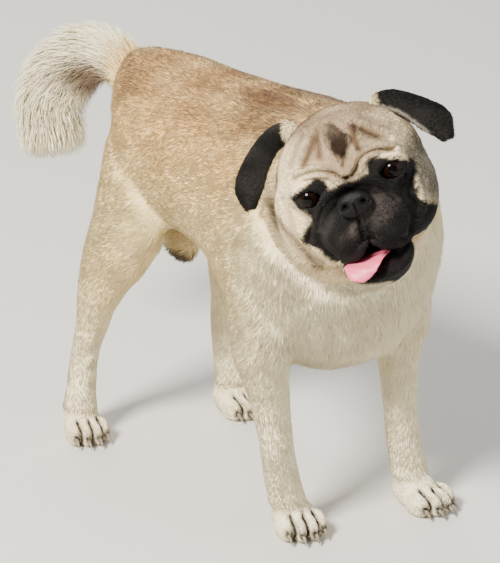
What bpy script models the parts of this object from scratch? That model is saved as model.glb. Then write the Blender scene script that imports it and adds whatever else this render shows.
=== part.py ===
"""A young pug standing as a still, life-size model, divided into its named body parts.

The dog faces -Y with its left side at +X and its paws on the plane z = 0. Lengths are in metres.
The trunk, legs, paws and head are ellipsoids and lofted limbs fused into one smooth body, which
thin cuts then divide. Ears, eyes, nose, tongue, claws, collar and tail are solids of their own.
"""

import math

import bmesh
import bpy
import numpy as np
from mathutils import Euler, Matrix, Vector

# Sizes of the whole dog
WITHERS_HEIGHT = 0.314
CHEST_DEPTH = 0.194
CHEST_HALF_WIDTH = 0.0895
LOIN_HALF_WIDTH = 0.064
RUMP_HALF_WIDTH = 0.061
CHEST_FRONT_Y = -0.060
RUMP_END_Y = 0.258
GAP = 0.0003

# Head: where its skull sits, how it is turned, and its sizes in its own frame
HEAD_PLACE = Vector((-0.0496, -0.0933, 0.2995))
HEAD_YAW, HEAD_PITCH, HEAD_ROLL = -38.0, -5.0, -21.0
HEAD_REACH = 0.078
CHEEK_HANG = -0.0035
FOLD_RADIUS = 0.0050
LID_RADIUS = 0.0026
EYE_RADIUS = 0.0105
ORBIT_RADII = (0.0145, 0.0085, 0.0135)
EYE_SPREAD = 0.0286
EYE_FORWARD = 0.0310
EYE_HEIGHT = 0.0016
MOUTH_MIDDLE = -0.0025
NOSE_PLACE = (0, -0.0590, -0.0068)
NOSE_WIDTH = 0.023
NOSE_HEIGHT = 0.017
EAR_THICKNESS = 0.0028
EAR_LIFTS = {"right": 0.0, "left": -0.0035}
EAR_SPREADS = {"right": 0.0030, "left": 0.0}

# Ellipsoids of the head, as centre and radii: on its middle line, then one of each pair
SKULL = ((0, 0.008, 0.003), (0.0510, 0.050, 0.0435))
FOREHEAD = ((0, -0.006, 0.010), (0.044, 0.036, 0.036))
BRIDGE = ((0, -0.028, -0.014), (0.0235, 0.029, 0.020))
LOWER_JAW = ((0, -0.026, -0.0540), (0.0245, 0.027, 0.019))
CHEEK = ((0.029, 0.002, -0.018), (0.0275, 0.038, 0.036))
THROAT = ((0.024, 0.026, -0.014), (0.030, 0.034, 0.044))
FLEW = ((0.0140, -0.0385, -0.0245), (0.0180, 0.0210, 0.0215))

# Legs: centre line and half sizes (across, along) from top to ankle
FORE_RIGHT = (((-0.056, 0.000, 0.200), 0.026, 0.035), ((-0.064, -0.0085, 0.150), 0.0205, 0.0255),
              ((-0.060, -0.011, 0.118), 0.0152, 0.018), ((-0.0535, -0.011, 0.082), 0.0130, 0.0135),
              ((-0.0465, -0.008, 0.050), 0.0135, 0.0135), ((-0.0385, -0.006, 0.024), 0.0140, 0.0155))
FORE_LEFT = (((0.058, 0.004, 0.200), 0.026, 0.040), ((0.062, -0.006, 0.150), 0.0215, 0.028),
             ((0.058, -0.011, 0.118), 0.0157, 0.018), ((0.058, -0.014, 0.083), 0.0135, 0.0138),
             ((0.060, -0.017, 0.052), 0.0135, 0.0138), ((0.0645, -0.020, 0.024), 0.0140, 0.0155))
HIND_RIGHT = (((-0.034, 0.191, 0.250), 0.024, 0.037), ((-0.050, 0.186, 0.188), 0.023, 0.041),
              ((-0.058, 0.202, 0.155), 0.0190, 0.0325), ((-0.0615, 0.215, 0.125), 0.0148, 0.0225),
              ((-0.063, 0.223, 0.097), 0.0120, 0.0155), ((-0.065, 0.2315, 0.070), 0.0112, 0.0130),
              ((-0.0672, 0.2335, 0.045), 0.0117, 0.0136), ((-0.0705, 0.2324, 0.022), 0.0135, 0.0162))
HIND_LEFT = (((0.034, 0.196, 0.250), 0.024, 0.038), ((0.049, 0.184, 0.188), 0.023, 0.041),
             ((0.055, 0.199, 0.155), 0.0190, 0.0325), ((0.059, 0.212, 0.125), 0.0148, 0.0225),
             ((0.061, 0.218, 0.097), 0.0120, 0.0155), ((0.0605, 0.220, 0.070), 0.0112, 0.0130),
             ((0.0603, 0.215, 0.045), 0.0117, 0.0136), ((0.058, 0.2045, 0.022), 0.0135, 0.0162))

# Paws: place on the floor, heading in degrees and size beside a forepaw, and the sizes of a forepaw
PAWS = {
    "forepaw_right": ((-0.035, -0.012), -12.0, 1.0),
    "forepaw_left": ((0.067, -0.031), 6.0, 1.0),
    "hindpaw_right": ((-0.0715, 0.2250), -10.0, 0.92),
    "hindpaw_left": ((0.0573, 0.1980), 6.0, 0.92),
}
PAW_HALF_WIDTH = 0.0185
PAW_TOP = 0.026
TOES = ((-0.0135, 0.008), (-0.0048, 0.0135), (0.0048, 0.0135), (0.0135, 0.008))
TOE_RADII = (0.0058, 0.0125, 0.0095)
TOE_HEIGHT = 0.0085
CLAW_LENGTH = 0.0088
CLAW_RADIUS = 0.0024
CLAW_DROP = 0.0058

# Neck, from inside the chest up to the head, in the same terms
NECK = (((0.003, 0.030, 0.235), 0.070, 0.070), ((-0.007, -0.020, 0.248), 0.065, 0.066),
        ((-0.028, -0.060, 0.270), 0.054, 0.057))

# Sheath under the belly of a male
SHEATH_PLACE = (-0.004, 0.184, 0.168)
SHEATH_RADII = (0.0095, 0.021, 0.019)

# Collar
COLLAR_WIDTH = 0.013
COLLAR_THICKNESS = 0.0022
COLLAR_RADII = (0.0515, 0.0540)
COLLAR_PLACE = (-0.003, 0.036, -0.022)
COLLAR_TURN = (-62.0, 14.0, 0.0)

# Where the thin cuts divide the body
FORE_KNEE = 0.058
ELBOW = 0.130
SHOULDER_CENTRE = (0.004, 0.176)
SHOULDER_RADIUS = 0.056
SHOULDER_DEEP = 0.045
HOCK = 0.076
STIFLE = 0.148
THIGH_CENTRE = (0.172, 0.184)
THIGH_RADIUS = 0.052
THIGH_DEEP = 0.034
HEAD_CUT = 0.036
HEAD_CUT_TILT = -12.0
NECK_CUT = (0.0, 0.010, 0.316)
NECK_CUT_TILT = 56.0
CHEST_END = 0.088
LOIN_END = 0.165

# Tail: it rises a little, runs back and hangs down in a brush
TAIL_ROUTE = ((0.0, 0.246, 0.272), (0.0, 0.272, 0.286), (-0.003, 0.300, 0.289), (-0.011, 0.325, 0.279),
              (-0.021, 0.339, 0.259), (-0.027, 0.341, 0.240), (-0.029, 0.333, 0.215))
TAIL_HALF_WIDTHS = (0.014, 0.0185, 0.0225, 0.0275, 0.0295, 0.0290, 0.0265)
TAIL_SPLIT = 0.40
TAIL_CORE_SHARE = 0.45
LOCK_LENGTH = 0.042
LOCK_WIDTH = 0.022
LOCK_THICKNESS = 0.0032
LOCK_ROWS = 6
LOCKS_AROUND = 6
LOCK_SEED = 11

# Fineness of the fused body
VOXEL = 0.0018
SMOOTHING_ROUNDS = 7
TRUNK_TRIANGLES = 2400
HEAD_AND_PAW_TRIANGLES = 4450
SLIVER_RATIO = 0.72


def finish(name, colour, roughness=0.8):
    """A plain Principled material."""
    material = bpy.data.materials.new(name)
    material.use_nodes = True
    shader = material.node_tree.nodes["Principled BSDF"]
    shader.inputs["Base Color"].default_value = (*colour, 1.0)
    shader.inputs["Roughness"].default_value = roughness
    shader.inputs["Metallic"].default_value = 0.0
    return material


def mesh_object(name, bm, hidden=False):
    """Turns a bmesh into an object, shaded smooth, and hides it if it is only a helper."""
    mesh = bpy.data.meshes.new(name)
    bmesh.ops.recalc_face_normals(bm, faces=bm.faces)
    bm.to_mesh(mesh)
    bm.free()
    mesh.shade_smooth()
    made = bpy.data.objects.new(name, mesh)
    bpy.context.scene.collection.objects.link(made)
    if hidden:
        hide(made)
    return made


def hide(helper):
    helper.hide_render = True
    helper.display_type = "WIRE"


def remove(helper):
    mesh = helper.data
    bpy.data.objects.remove(helper)
    bpy.data.meshes.remove(mesh)


def evaluated_copy(source, name):
    """A new object holding the mesh of source with its modifiers applied."""
    graph = bpy.context.evaluated_depsgraph_get()
    mesh = bpy.data.meshes.new_from_object(source.evaluated_get(graph))
    mesh.name = name
    made = bpy.data.objects.new(name, mesh)
    made.matrix_world = source.matrix_world
    bpy.context.scene.collection.objects.link(made)
    return made


def ellipsoid(centre, radii, frame=Matrix.Identity(4), segments=20, name="ellipsoid"):
    """A ball of three radii, placed in a frame."""
    bm = bmesh.new()
    place = frame @ Matrix.Translation(centre) @ Matrix.Diagonal((*radii, 1.0))
    bmesh.ops.create_uvsphere(bm, u_segments=segments, v_segments=segments // 2, radius=1.0, matrix=place)
    return mesh_object(name, bm)


def loft(rings, name="loft"):
    """A closed tube through rings of points, all with the same count, with a fan cap at each end."""
    bm = bmesh.new()
    made = [[bm.verts.new(point) for point in ring] for ring in rings]
    for low, high in zip(made, made[1:]):
        for i in range(len(low)):
            j = (i + 1) % len(low)
            bm.faces.new((low[i], low[j], high[j], high[i]))
    bm.faces.new(made[0])
    bm.faces.new(made[-1])
    bmesh.ops.triangulate(bm, faces=[face for face in bm.faces if len(face.verts) > 4])
    return mesh_object(name, bm)


def curve_through(points, count):
    """Points evenly spaced by parameter on a Catmull-Rom curve through the given points."""
    given = np.array(points, float)
    ends = np.vstack([2 * given[0] - given[1], given, 2 * given[-1] - given[-2]])
    along = np.linspace(0, len(given) - 1, count)
    found = []
    for t in along:
        i = min(int(t), len(given) - 2)
        u = t - i
        a, b, c, d = ends[i:i + 4]
        found.append(0.5 * (2 * b + (c - a) * u + (2 * a - 5 * b + 4 * c - d) * u ** 2
                            + (3 * b - a - 3 * c + d) * u ** 3))
    return np.array(found)


def limb(stations, count=14, sides=16):
    """A loft along stations of (centre, half size across X, half size along the body)."""
    centres = curve_through([station[0] for station in stations], count)
    sizes = curve_through([(station[1], station[2], 0) for station in stations], count)
    rings = []
    for i, centre in enumerate(centres):
        ahead = centres[min(i + 1, count - 1)] - centres[max(i - 1, 0)]
        tangent = Vector(ahead).normalized()
        along = Vector((0, 1, 0)) - tangent * tangent.y
        along.normalize()
        across = along.cross(tangent)
        across.normalize()
        turns = [2 * math.pi * k / sides for k in range(sides)]
        rings.append([Vector(centre) + across * (sizes[i][0] * math.cos(turn))
                      + along * (sizes[i][1] * math.sin(turn)) for turn in turns])
    return loft(rings)


def trunk():
    """The torso as one loft along Y: each station gives its top, bottom, half width and middle."""
    top = WITHERS_HEIGHT
    low = WITHERS_HEIGHT - CHEST_DEPTH
    stations = (
        (CHEST_FRONT_Y, 0.232, 0.172, 0.018, 0.002),
        (-0.052, 0.262, 0.146, 0.046, 0.002),
        (-0.032, 0.290, low + 0.010, 0.077, 0.003),
        (-0.004, top - 0.004, low, CHEST_HALF_WIDTH - 0.002, 0.005),
        (0.035, top, low + 0.010, CHEST_HALF_WIDTH - 0.007, 0.006),
        (0.075, top - 0.001, low + 0.040, 0.070, 0.003),
        (0.115, top - 0.002, low + 0.056, 0.066, 0.0),
        (0.155, top - 0.003, low + 0.060, LOIN_HALF_WIDTH, 0.0),
        (0.190, top - 0.002, low + 0.064, RUMP_HALF_WIDTH, 0.0),
        (0.220, top - 0.003, low + 0.078, RUMP_HALF_WIDTH - 0.017, 0.0),
        (0.240, top - 0.006, low + 0.094, 0.031, 0.0),
        (RUMP_END_Y - 0.006, 0.299, low + 0.114, 0.020, 0.0),
        (RUMP_END_Y, 0.284, low + 0.136, 0.010, 0.0),
    )
    smooth = curve_through(stations, 40)
    sides = 32
    rings = []
    for y, high, deep, half, x in smooth:
        middle, reach = (high + deep) / 2, (high - deep) / 2
        ring = []
        for k in range(sides):
            turn = 2 * math.pi * k / sides
            ring.append((x + half * math.cos(turn), y, middle + reach * math.sin(turn)))
        rings.append(ring)
    return loft(rings)


def head_frame():
    turn = Euler((0, 0, math.radians(HEAD_YAW))).to_matrix()
    turn = turn @ Euler((math.radians(HEAD_PITCH), 0, 0)).to_matrix()
    turn = turn @ Euler((0, math.radians(HEAD_ROLL), 0)).to_matrix()
    return Matrix.Translation(HEAD_PLACE) @ turn.to_4x4()


def rope(points, radius, frame, count=9, sides=10):
    """A round fold of skin along a smooth curve through points of a frame."""
    route = [frame @ Vector(point) for point in curve_through(points, count)]
    rings = []
    for i, centre in enumerate(route):
        tangent = (route[min(i + 1, count - 1)] - route[max(i - 1, 0)]).normalized()
        across = tangent.orthogonal() if i == 0 else across - tangent * across.dot(tangent)
        across.normalize()
        other = tangent.cross(across)
        thick = radius * (0.35 if i in (0, count - 1) else 1.0)
        turns = [2 * math.pi * k / sides for k in range(sides)]
        rings.append([centre + (across * math.cos(turn) + other * math.sin(turn)) * thick for turn in turns])
    return loft(rings)


def mirrored(points, side):
    """Points of the dog's left side, or their mirror image on its right."""
    return [(side * x, y, z) for x, y, z in points]


def head_pieces(frame):
    """Skull, brow, cheeks, muzzle, folds, lids and lower jaw in the head's own frame."""
    pieces = [ellipsoid(*SKULL, frame, 24), ellipsoid(*FOREHEAD, frame, 24)]
    pieces += [ellipsoid(*BRIDGE, frame), ellipsoid(*LOWER_JAW, frame)]
    for side in (-1, 1):
        for (centre, radii), hang in ((CHEEK, CHEEK_HANG), (THROAT, CHEEK_HANG), (FLEW, 0.0)):
            place = Vector(mirrored([centre], side)[0]) + Vector((hang, 0, 0))
            pieces.append(ellipsoid(place, radii, frame))
        nose_roll = ((0, -0.0525, 0.0052), (0.011, -0.0520, 0.0037),
                     (0.0215, -0.0470, -0.0058), (0.0290, -0.0370, -0.0190))
        brow = ((0.006, -0.0350, 0.0100), (0.018, -0.0345, 0.0150),
                (0.033, -0.0265, 0.0130), (0.043, -0.0150, 0.0030))
        lip = ((0.000, -0.0500, -0.0620), (0.014, -0.0470, -0.0600), (0.024, -0.0360, -0.0520))
        pieces.append(rope(mirrored(nose_roll, side), FOLD_RADIUS, frame))
        pieces.append(rope(mirrored(brow, side), FOLD_RADIUS, frame))
        pieces.append(rope(mirrored(lip, side), 0.0040, frame))
        eye = Vector((side * EYE_SPREAD, -EYE_FORWARD, EYE_HEIGHT))
        pieces.append(ellipsoid(eye + Vector((0, 0.0015, 0.001)), ORBIT_RADII, frame))
        for above in (-1, 1):
            lid = []
            for turn in (0, 45, 90, 135, 180):
                across = math.cos(math.radians(turn))
                rise = math.sin(math.radians(turn))
                lid.append(eye + Vector((side * 0.0105 * across, -0.0060 - 0.0030 * rise + 0.004 * across,
                                         above * 0.0082 * rise)))
            pieces.append(rope(lid, LID_RADIUS, frame, 9, 8))
    return pieces


def mouth_cutter(frame):
    """The open mouth: it has a peak where the two flews meet, and the lower lip is its floor."""
    rings = []
    for forward, half, middle, peak, floor in ((0.018, 0.0110, -0.0490, 0.0040, 0.0035),
                                               (0.034, 0.0165, -0.0480, 0.0085, 0.0050),
                                               (0.050, 0.0180, -0.0475, 0.0130, 0.0055),
                                               (0.080, 0.0190, -0.0470, 0.0150, 0.0060)):
        ring = []
        for k in range(20):
            across, rise = math.cos(2 * math.pi * k / 20), math.sin(2 * math.pi * k / 20)
            height = peak * rise ** 3 if rise > 0 else floor * rise
            ring.append(frame @ Vector((MOUTH_MIDDLE + half * across, -forward, middle + height)))
        rings.append(ring)
    cutter = loft(rings)
    hide(cutter)
    return cutter


def paw_frame(place, heading, size):
    """A paw's own frame on the floor: its toes point along -Y."""
    turn = Matrix.Rotation(math.radians(heading), 4, "Z")
    return Matrix.Translation((*place, 0)) @ turn @ Matrix.Diagonal((size, size, 1, 1))


def paw(frame):
    """A paw: a low body with the pad under it, and four toes in a row."""
    pieces = [ellipsoid((0, 0.006, 0.012), (PAW_HALF_WIDTH * 0.86, 0.021, 0.0145), frame, 16)]
    for x, forward in TOES:
        pieces.append(ellipsoid((x, -forward, TOE_HEIGHT), TOE_RADII, frame, 12))
    return pieces


def triangle_count(mesh):
    return sum(len(face.vertices) - 2 for face in mesh.polygons)


def thinned(source, kept, triangles):
    """Thins the faces of source outside the kept points to a number of triangles, as a new object."""
    inside = {vertex.index for vertex in source.data.vertices if kept(vertex.co)}
    held = sum(len(face.vertices) - 2 for face in source.data.polygons
               if all(index in inside for index in face.vertices))
    group = source.vertex_groups.new(name="kept")
    group.add(list(inside), 1.0, "REPLACE")
    thin = source.modifiers.new("thin", "DECIMATE")
    thin.ratio = (held + triangles) / triangle_count(source.data)
    thin.vertex_group = group.name
    thin.invert_vertex_group = True
    made = evaluated_copy(source, "body")
    made.vertex_groups.clear()
    remove(source)
    return made


def in_head_or_paw(point):
    return (point - HEAD_PLACE).length < HEAD_REACH or point.z < PAW_TOP + 0.004


def fuse_body():
    """Joins all the forms, remeshes them into one smooth body and thins its triangles."""
    frame = head_frame()
    pieces = [trunk()]
    pieces += [limb(stations) for stations in (FORE_RIGHT, FORE_LEFT, HIND_RIGHT, HIND_LEFT)]
    pieces.append(limb(NECK, 8))
    pieces.append(ellipsoid(SHEATH_PLACE, SHEATH_RADII, segments=16))
    pieces += head_pieces(frame)
    for stance in PAWS.values():
        pieces += paw(paw_frame(*stance))
    bm = bmesh.new()
    for piece in pieces:
        bm.from_mesh(piece.data)
        remove(piece)
    body = mesh_object("body", bm, hidden=True)
    remesh = body.modifiers.new("fuse", "REMESH")
    remesh.mode = "VOXEL"
    remesh.voxel_size = VOXEL
    smooth = body.modifiers.new("smooth", "SMOOTH")
    smooth.factor = 0.5
    smooth.iterations = SMOOTHING_ROUNDS
    fine = evaluated_copy(body, "body fine")
    remove(body)
    made = thinned(fine, in_head_or_paw, TRUNK_TRIANGLES)
    made = thinned(made, lambda point: not in_head_or_paw(point), HEAD_AND_PAW_TRIANGLES)
    hide(made)
    floor = box_helper((-0.3, -0.3, -0.1), (0.3, 0.5, 0))
    cut(made, floor, "DIFFERENCE")
    remove(floor)
    return made


def box_helper(low, high, frame=Matrix.Identity(4), grow=0.0):
    """A block between two corners of a frame, grown on every side."""
    low, high = Vector(low), Vector(high)
    bm = bmesh.new()
    size = high - low + Vector((2 * grow,) * 3)
    place = frame @ Matrix.Translation((low + high) / 2) @ Matrix.Diagonal((*size, 1.0))
    bmesh.ops.create_cube(bm, size=1.0, matrix=place)
    return mesh_object("helper", bm, hidden=True)


def apply_modifiers(target):
    """Gives an object the mesh that its modifiers make."""
    graph = bpy.context.evaluated_depsgraph_get()
    mesh = bpy.data.meshes.new_from_object(target.evaluated_get(graph))
    target.modifiers.clear()
    old = target.data
    target.data = mesh
    bpy.data.meshes.remove(old)


def cut(target, helper, operation):
    """Cuts target with helper, or keeps only what they share."""
    boolean = target.modifiers.new("cut", "BOOLEAN")
    boolean.operation = operation
    boolean.object = helper
    boolean.solver = "EXACT"
    apply_modifiers(target)


def keep_largest(target):
    """Keeps only the largest closed surface of an object, also where others touch it along an edge."""
    bm = bmesh.new()
    bm.from_mesh(target.data)
    bmesh.ops.triangulate(bm, faces=bm.faces)
    unseen = set(bm.faces)
    groups = []
    while unseen:
        stack = [unseen.pop()]
        group = set(stack)
        while stack:
            plain_edges = [edge for edge in stack.pop().edges if len(edge.link_faces) == 2]
            for face in {face for edge in plain_edges for face in edge.link_faces} & unseen:
                unseen.discard(face)
                group.add(face)
                stack.append(face)
        groups.append(group)
    groups.sort(key=len)
    bmesh.ops.delete(bm, geom=[face for group in groups[:-1] for face in group], context="FACES")
    bm.to_mesh(target.data)
    bm.free()


def drum_helper(low, high, centre, radius, grow=0.0):
    """A drum lying along X between two values of x, round a point (y, z), grown on every side."""
    bm = bmesh.new()
    length = high - low + 2 * grow
    place = Matrix.Translation(((low + high) / 2, *centre)) @ Matrix.Rotation(math.pi / 2, 4, "Y")
    bmesh.ops.create_cone(bm, cap_ends=True, segments=28, radius1=radius + grow, radius2=radius + grow,
                          depth=length, matrix=place)
    return mesh_object("helper", bm, hidden=True)


def part_off(body, name, region):
    """Takes what lies in a region away as a node. region(grow) makes the region's helper."""
    node = bpy.data.objects.new(name, body.data.copy())
    bpy.context.scene.collection.objects.link(node)
    inner = region(0.0)
    cut(node, inner, "INTERSECT")
    remove(inner)
    outer = region(GAP)
    cut(body, outer, "DIFFERENCE")
    remove(outer)
    keep_largest(node)
    keep_largest(body)
    return node


def drop_slivers(node):
    """Collapses the thin triangles that the cuts leave, which hardly moves the surface."""
    thin = node.modifiers.new("thin", "DECIMATE")
    thin.ratio = SLIVER_RATIO
    apply_modifiers(node)


def block(low, high, frame=Matrix.Identity(4)):
    return lambda grow: box_helper(low, high, frame, grow)


def drum(side, inner, centre, radius):
    """A drum on one side of the body, from inner out past the skin."""
    low, high = sorted((side * inner, side * 0.12))
    return lambda grow: drum_helper(low, high, centre, radius, grow)


def seat(host, node):
    """Sinks a node into its host: the host gets a pocket with a thin gap round the node."""
    bm = bmesh.new()
    bm.from_mesh(node.data)
    bm.normal_update()
    pushes = [(vertex, vertex.normal * (GAP * 1.15)) for vertex in bm.verts]
    for vertex, push in pushes:
        vertex.co += push
    helper = mesh_object("helper", bm, hidden=True)
    cut(host, helper, "DIFFERENCE")
    remove(helper)
    keep_largest(host)


def ear(name, side, lift, spread, frame):
    """An ear flap that leaves the skull, bends over and hangs, hollow on its inner side."""
    centre_line = ((0.0285, 0.0135, 0.0375), (0.0410, 0.0110, 0.0415 + lift),
                   (0.0560 + 0.6 * spread, 0.0035, 0.0310 + lift),
                   (0.0665 + spread, -0.0040, 0.0165), (0.0695 + spread, -0.0080, 0.0030))
    halves = (0.0075, 0.0085, 0.0103, 0.0115, 0.0042)
    rows, columns = 10, 6
    route = curve_through([(side * x, y, z) for x, y, z in centre_line], rows)
    widths = curve_through([(half, 0, 0) for half in halves], rows)[:, 0]
    bm = bmesh.new()
    skins = []
    for depth in (-0.5, 0.5):
        grid = []
        for i, centre in enumerate(route):
            tangent = Vector(route[min(i + 1, rows - 1)] - route[max(i - 1, 0)]).normalized()
            outward = Vector((side * 0.35, -0.80, 0.50))
            across = tangent.cross(outward).normalized()
            outward = across.cross(tangent).normalized()
            row = []
            for j in range(columns + 1):
                v = 2 * j / columns - 1
                curl = -0.0030 * v * v
                thick = EAR_THICKNESS * (1 - 0.55 * abs(v) ** 3)
                local = Vector(centre) + across * (widths[i] * v) + outward * (curl + depth * thick)
                row.append(bm.verts.new(frame @ local))
            grid.append(row)
        skins.append(grid)
    for grid in skins:
        for upper, lower in zip(grid, grid[1:]):
            for j in range(columns):
                corners = (upper[j], upper[j + 1], lower[j + 1], lower[j])
                bm.faces.new(corners)
    inner, outer = skins
    rim_inner = rim_of(inner)
    rim_outer = rim_of(outer)
    for i in range(len(rim_inner)):
        j = (i + 1) % len(rim_inner)
        bm.faces.new((rim_inner[i], rim_inner[j], rim_outer[j], rim_outer[i]))
    bmesh.ops.triangulate(bm, faces=bm.faces)
    return mesh_object(name, bm)


def rim_of(grid):
    """The border of a grid of vertices, in order."""
    rim = list(grid[0])
    rim += [row[-1] for row in grid[1:]]
    rim += list(reversed(grid[-1][:-1]))
    rim += [row[0] for row in reversed(grid[1:-1])]
    return rim


def nose(frame):
    """The nose pad with its two nostrils."""
    pad = ellipsoid(NOSE_PLACE, (NOSE_WIDTH / 2, 0.0060, NOSE_HEIGHT / 2), frame, 20, "nose")
    for side in (-1, 1):
        slot = ellipsoid((side * 0.0060, -0.0655, -0.0072), (0.0024, 0.0040, 0.0030), frame, 12)
        hide(slot)
        cut(pad, slot, "DIFFERENCE")
        remove(slot)
    return pad


def tongue(frame):
    """The tongue lies on the lower jaw and comes out over the lip on the dog's right."""
    route = curve_through(((0.000, -0.016, -0.0510), (-0.002, -0.036, -0.0490), (-0.0065, -0.0500, -0.0474),
                           (-0.0120, -0.0590, -0.0496), (-0.0160, -0.0628, -0.0560)), 9)
    halves = curve_through(((0.0120, 0, 0), (0.0130, 0, 0), (0.0140, 0, 0), (0.0125, 0, 0), (0.005, 0, 0)), 9)
    rings = []
    for i, centre in enumerate(route):
        ahead = Vector(route[min(i + 1, 8)] - route[max(i - 1, 0)]).normalized()
        across = Vector((1, 0, 0)) - ahead * ahead.x
        across.normalize()
        thick_way = across.cross(ahead)
        turns = [2 * math.pi * k / 14 for k in range(14)]
        rings.append([frame @ (Vector(centre) + across * (halves[i][0] * math.cos(turn))
                               + thick_way * (0.0019 * math.sin(turn))) for turn in turns])
    return loft(rings, "tongue")


def claw(name, root, heading):
    """A curved tapering claw that ends just above the floor."""
    sides, steps = 6, 4
    forward = Vector((math.sin(heading), -math.cos(heading), 0))
    across = Vector((math.cos(heading), math.sin(heading), 0))
    rings = []
    for i in range(steps + 1):
        t = i / steps
        centre = root + forward * (CLAW_LENGTH * t) + Vector((0, 0, -CLAW_DROP * t * t))
        tangent = (forward * CLAW_LENGTH + Vector((0, 0, -2 * CLAW_DROP * t))).normalized()
        upward = across.cross(tangent).normalized()
        radius = CLAW_RADIUS * (1 - 0.82 * t ** 1.5)
        turns = [2 * math.pi * k / sides for k in range(sides)]
        rings.append([centre + across * (radius * 0.8 * math.cos(turn)) + upward * (radius * math.sin(turn))
                      for turn in turns])
    return loft(rings, name)


class Tail:
    """The tail's centre line and half width at any fraction of its length, also a little past its end."""

    def __init__(self, count=80):
        self.route = curve_through(TAIL_ROUTE, count)
        self.halves = curve_through([(half, 0, 0) for half in TAIL_HALF_WIDTHS], count)[:, 0]
        self.steps = count - 1
        self.length = float(np.linalg.norm(np.diff(self.route, axis=0), axis=1).sum())

    def centre(self, t):
        place = min(t, 1.0) * self.steps
        i = min(int(place), self.steps - 1)
        share = place - i
        found = Vector(self.route[i] * (1 - share) + self.route[i + 1] * share)
        return found + self.tangent(1.0) * max(t - 1.0, 0.0) * self.length

    def tangent(self, t):
        i = min(int(min(t, 1.0) * self.steps), self.steps - 1)
        return Vector(self.route[i + 1] - self.route[i]).normalized()

    def half(self, t):
        return float(np.interp(t, [k / self.steps for k in range(self.steps + 1)], self.halves))

    def core(self, t):
        """The core keeps the full width where the brush begins and soon sinks to its share."""
        fade = min(max((t - TAIL_SPLIT) / 0.22, 0.0), 1.0)
        return self.half(t) * (1 - (1 - TAIL_CORE_SHARE) * fade)

    def across(self, t, turn):
        """The outward direction at an angle round the tail."""
        tangent = self.tangent(t)
        side = Vector((1, 0, 0)) - tangent * tangent.x
        side.normalize()
        return side * (0.90 * math.cos(turn)) + tangent.cross(side) * math.sin(turn)

    def tube(self, name, start, end, count, size, sides):
        rings = []
        for k in range(count):
            t = start + (end - start) * k / (count - 1)
            turns = [2 * math.pi * j / sides for j in range(sides)]
            rings.append([self.centre(t) + self.across(t, turn) * size(t) for turn in turns])
        return loft(rings, name)

    def lock(self, t, turn, length, width):
        """A flat, tapered lock that leaves the core and bends along the tail out to the brush's outline."""
        rings = []
        for s in (0.0, 0.35, 0.75, 1.0):
            here = t + s * length / self.length
            low, high = self.core(t) * 0.55, self.half(min(here, 1.0))
            outward = self.across(here, turn)
            rise = low + (high - low) * math.sin(s * math.pi / 2) ** 0.9
            middle = self.centre(here) + outward * rise
            outward.normalize()
            side = outward.cross(self.tangent(here)).normalized()
            half = width / 2 * (0.9, 1.15, 0.8, 0.07)[len(rings)]
            thick = LOCK_THICKNESS / 2 * (1.2, 1.0, 0.7, 0.15)[len(rings)]
            rings.append([middle + side * half, middle + outward * thick,
                          middle - side * half, middle - outward * thick])
        return loft(rings, "lock")


def tail_brush(tail):
    """The hanging brush: a slim core with overlapping locks in rows, fused into one body."""
    brush = tail.tube("tail_brush", TAIL_SPLIT + GAP / tail.length, 0.86, 9, tail.core, 12)
    random = np.random.default_rng(LOCK_SEED)
    locks = bpy.data.collections.new("locks")
    bpy.context.scene.collection.children.link(locks)
    first, last = TAIL_SPLIT + 0.02, 1.0 - LOCK_LENGTH * 0.9 / tail.length
    for row in range(LOCK_ROWS):
        t = first + (last - first) * row / (LOCK_ROWS - 1)
        for k in range(LOCKS_AROUND):
            turn = 2 * math.pi * (k + 0.5 * (row % 2) + random.uniform(-0.12, 0.12)) / LOCKS_AROUND
            piece = tail.lock(t, turn, LOCK_LENGTH * random.uniform(0.88, 1.12),
                              LOCK_WIDTH * random.uniform(0.9, 1.1))
            bpy.context.scene.collection.objects.unlink(piece)
            locks.objects.link(piece)
            hide(piece)
    union = brush.modifiers.new("locks", "BOOLEAN")
    union.operation = "UNION"
    union.operand_type = "COLLECTION"
    union.collection = locks
    union.solver = "MANIFOLD"
    apply_modifiers(brush)
    for piece in list(locks.objects):
        remove(piece)
    bpy.data.collections.remove(locks)
    keep_largest(brush)
    return brush


def collar(frame):
    """A flat band round the neck, close behind the jaw."""
    outer, inner = [], []
    sides = 36
    for k in range(sides):
        turn = 2 * math.pi * k / sides
        ring_out, ring_in = [], []
        for along in (-COLLAR_WIDTH / 2, COLLAR_WIDTH / 2):
            for ring, grow in ((ring_out, COLLAR_THICKNESS), (ring_in, 0.0)):
                ring.append(frame @ Vector(((COLLAR_RADII[0] + grow) * math.cos(turn),
                                            (COLLAR_RADII[1] + grow) * math.sin(turn), along)))
        outer.append(ring_out)
        inner.append(ring_in)
    bm = bmesh.new()
    verts = [[bm.verts.new(point) for point in (*inner[k], *outer[k])] for k in range(sides)]
    for k in range(sides):
        a, b = verts[k], verts[(k + 1) % sides]
        for i, j in ((0, 1), (1, 3), (3, 2), (2, 0)):
            bm.faces.new((a[i], a[j], b[j], b[i]))
    bmesh.ops.triangulate(bm, faces=bm.faces)
    return mesh_object("collar", bm)


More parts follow.
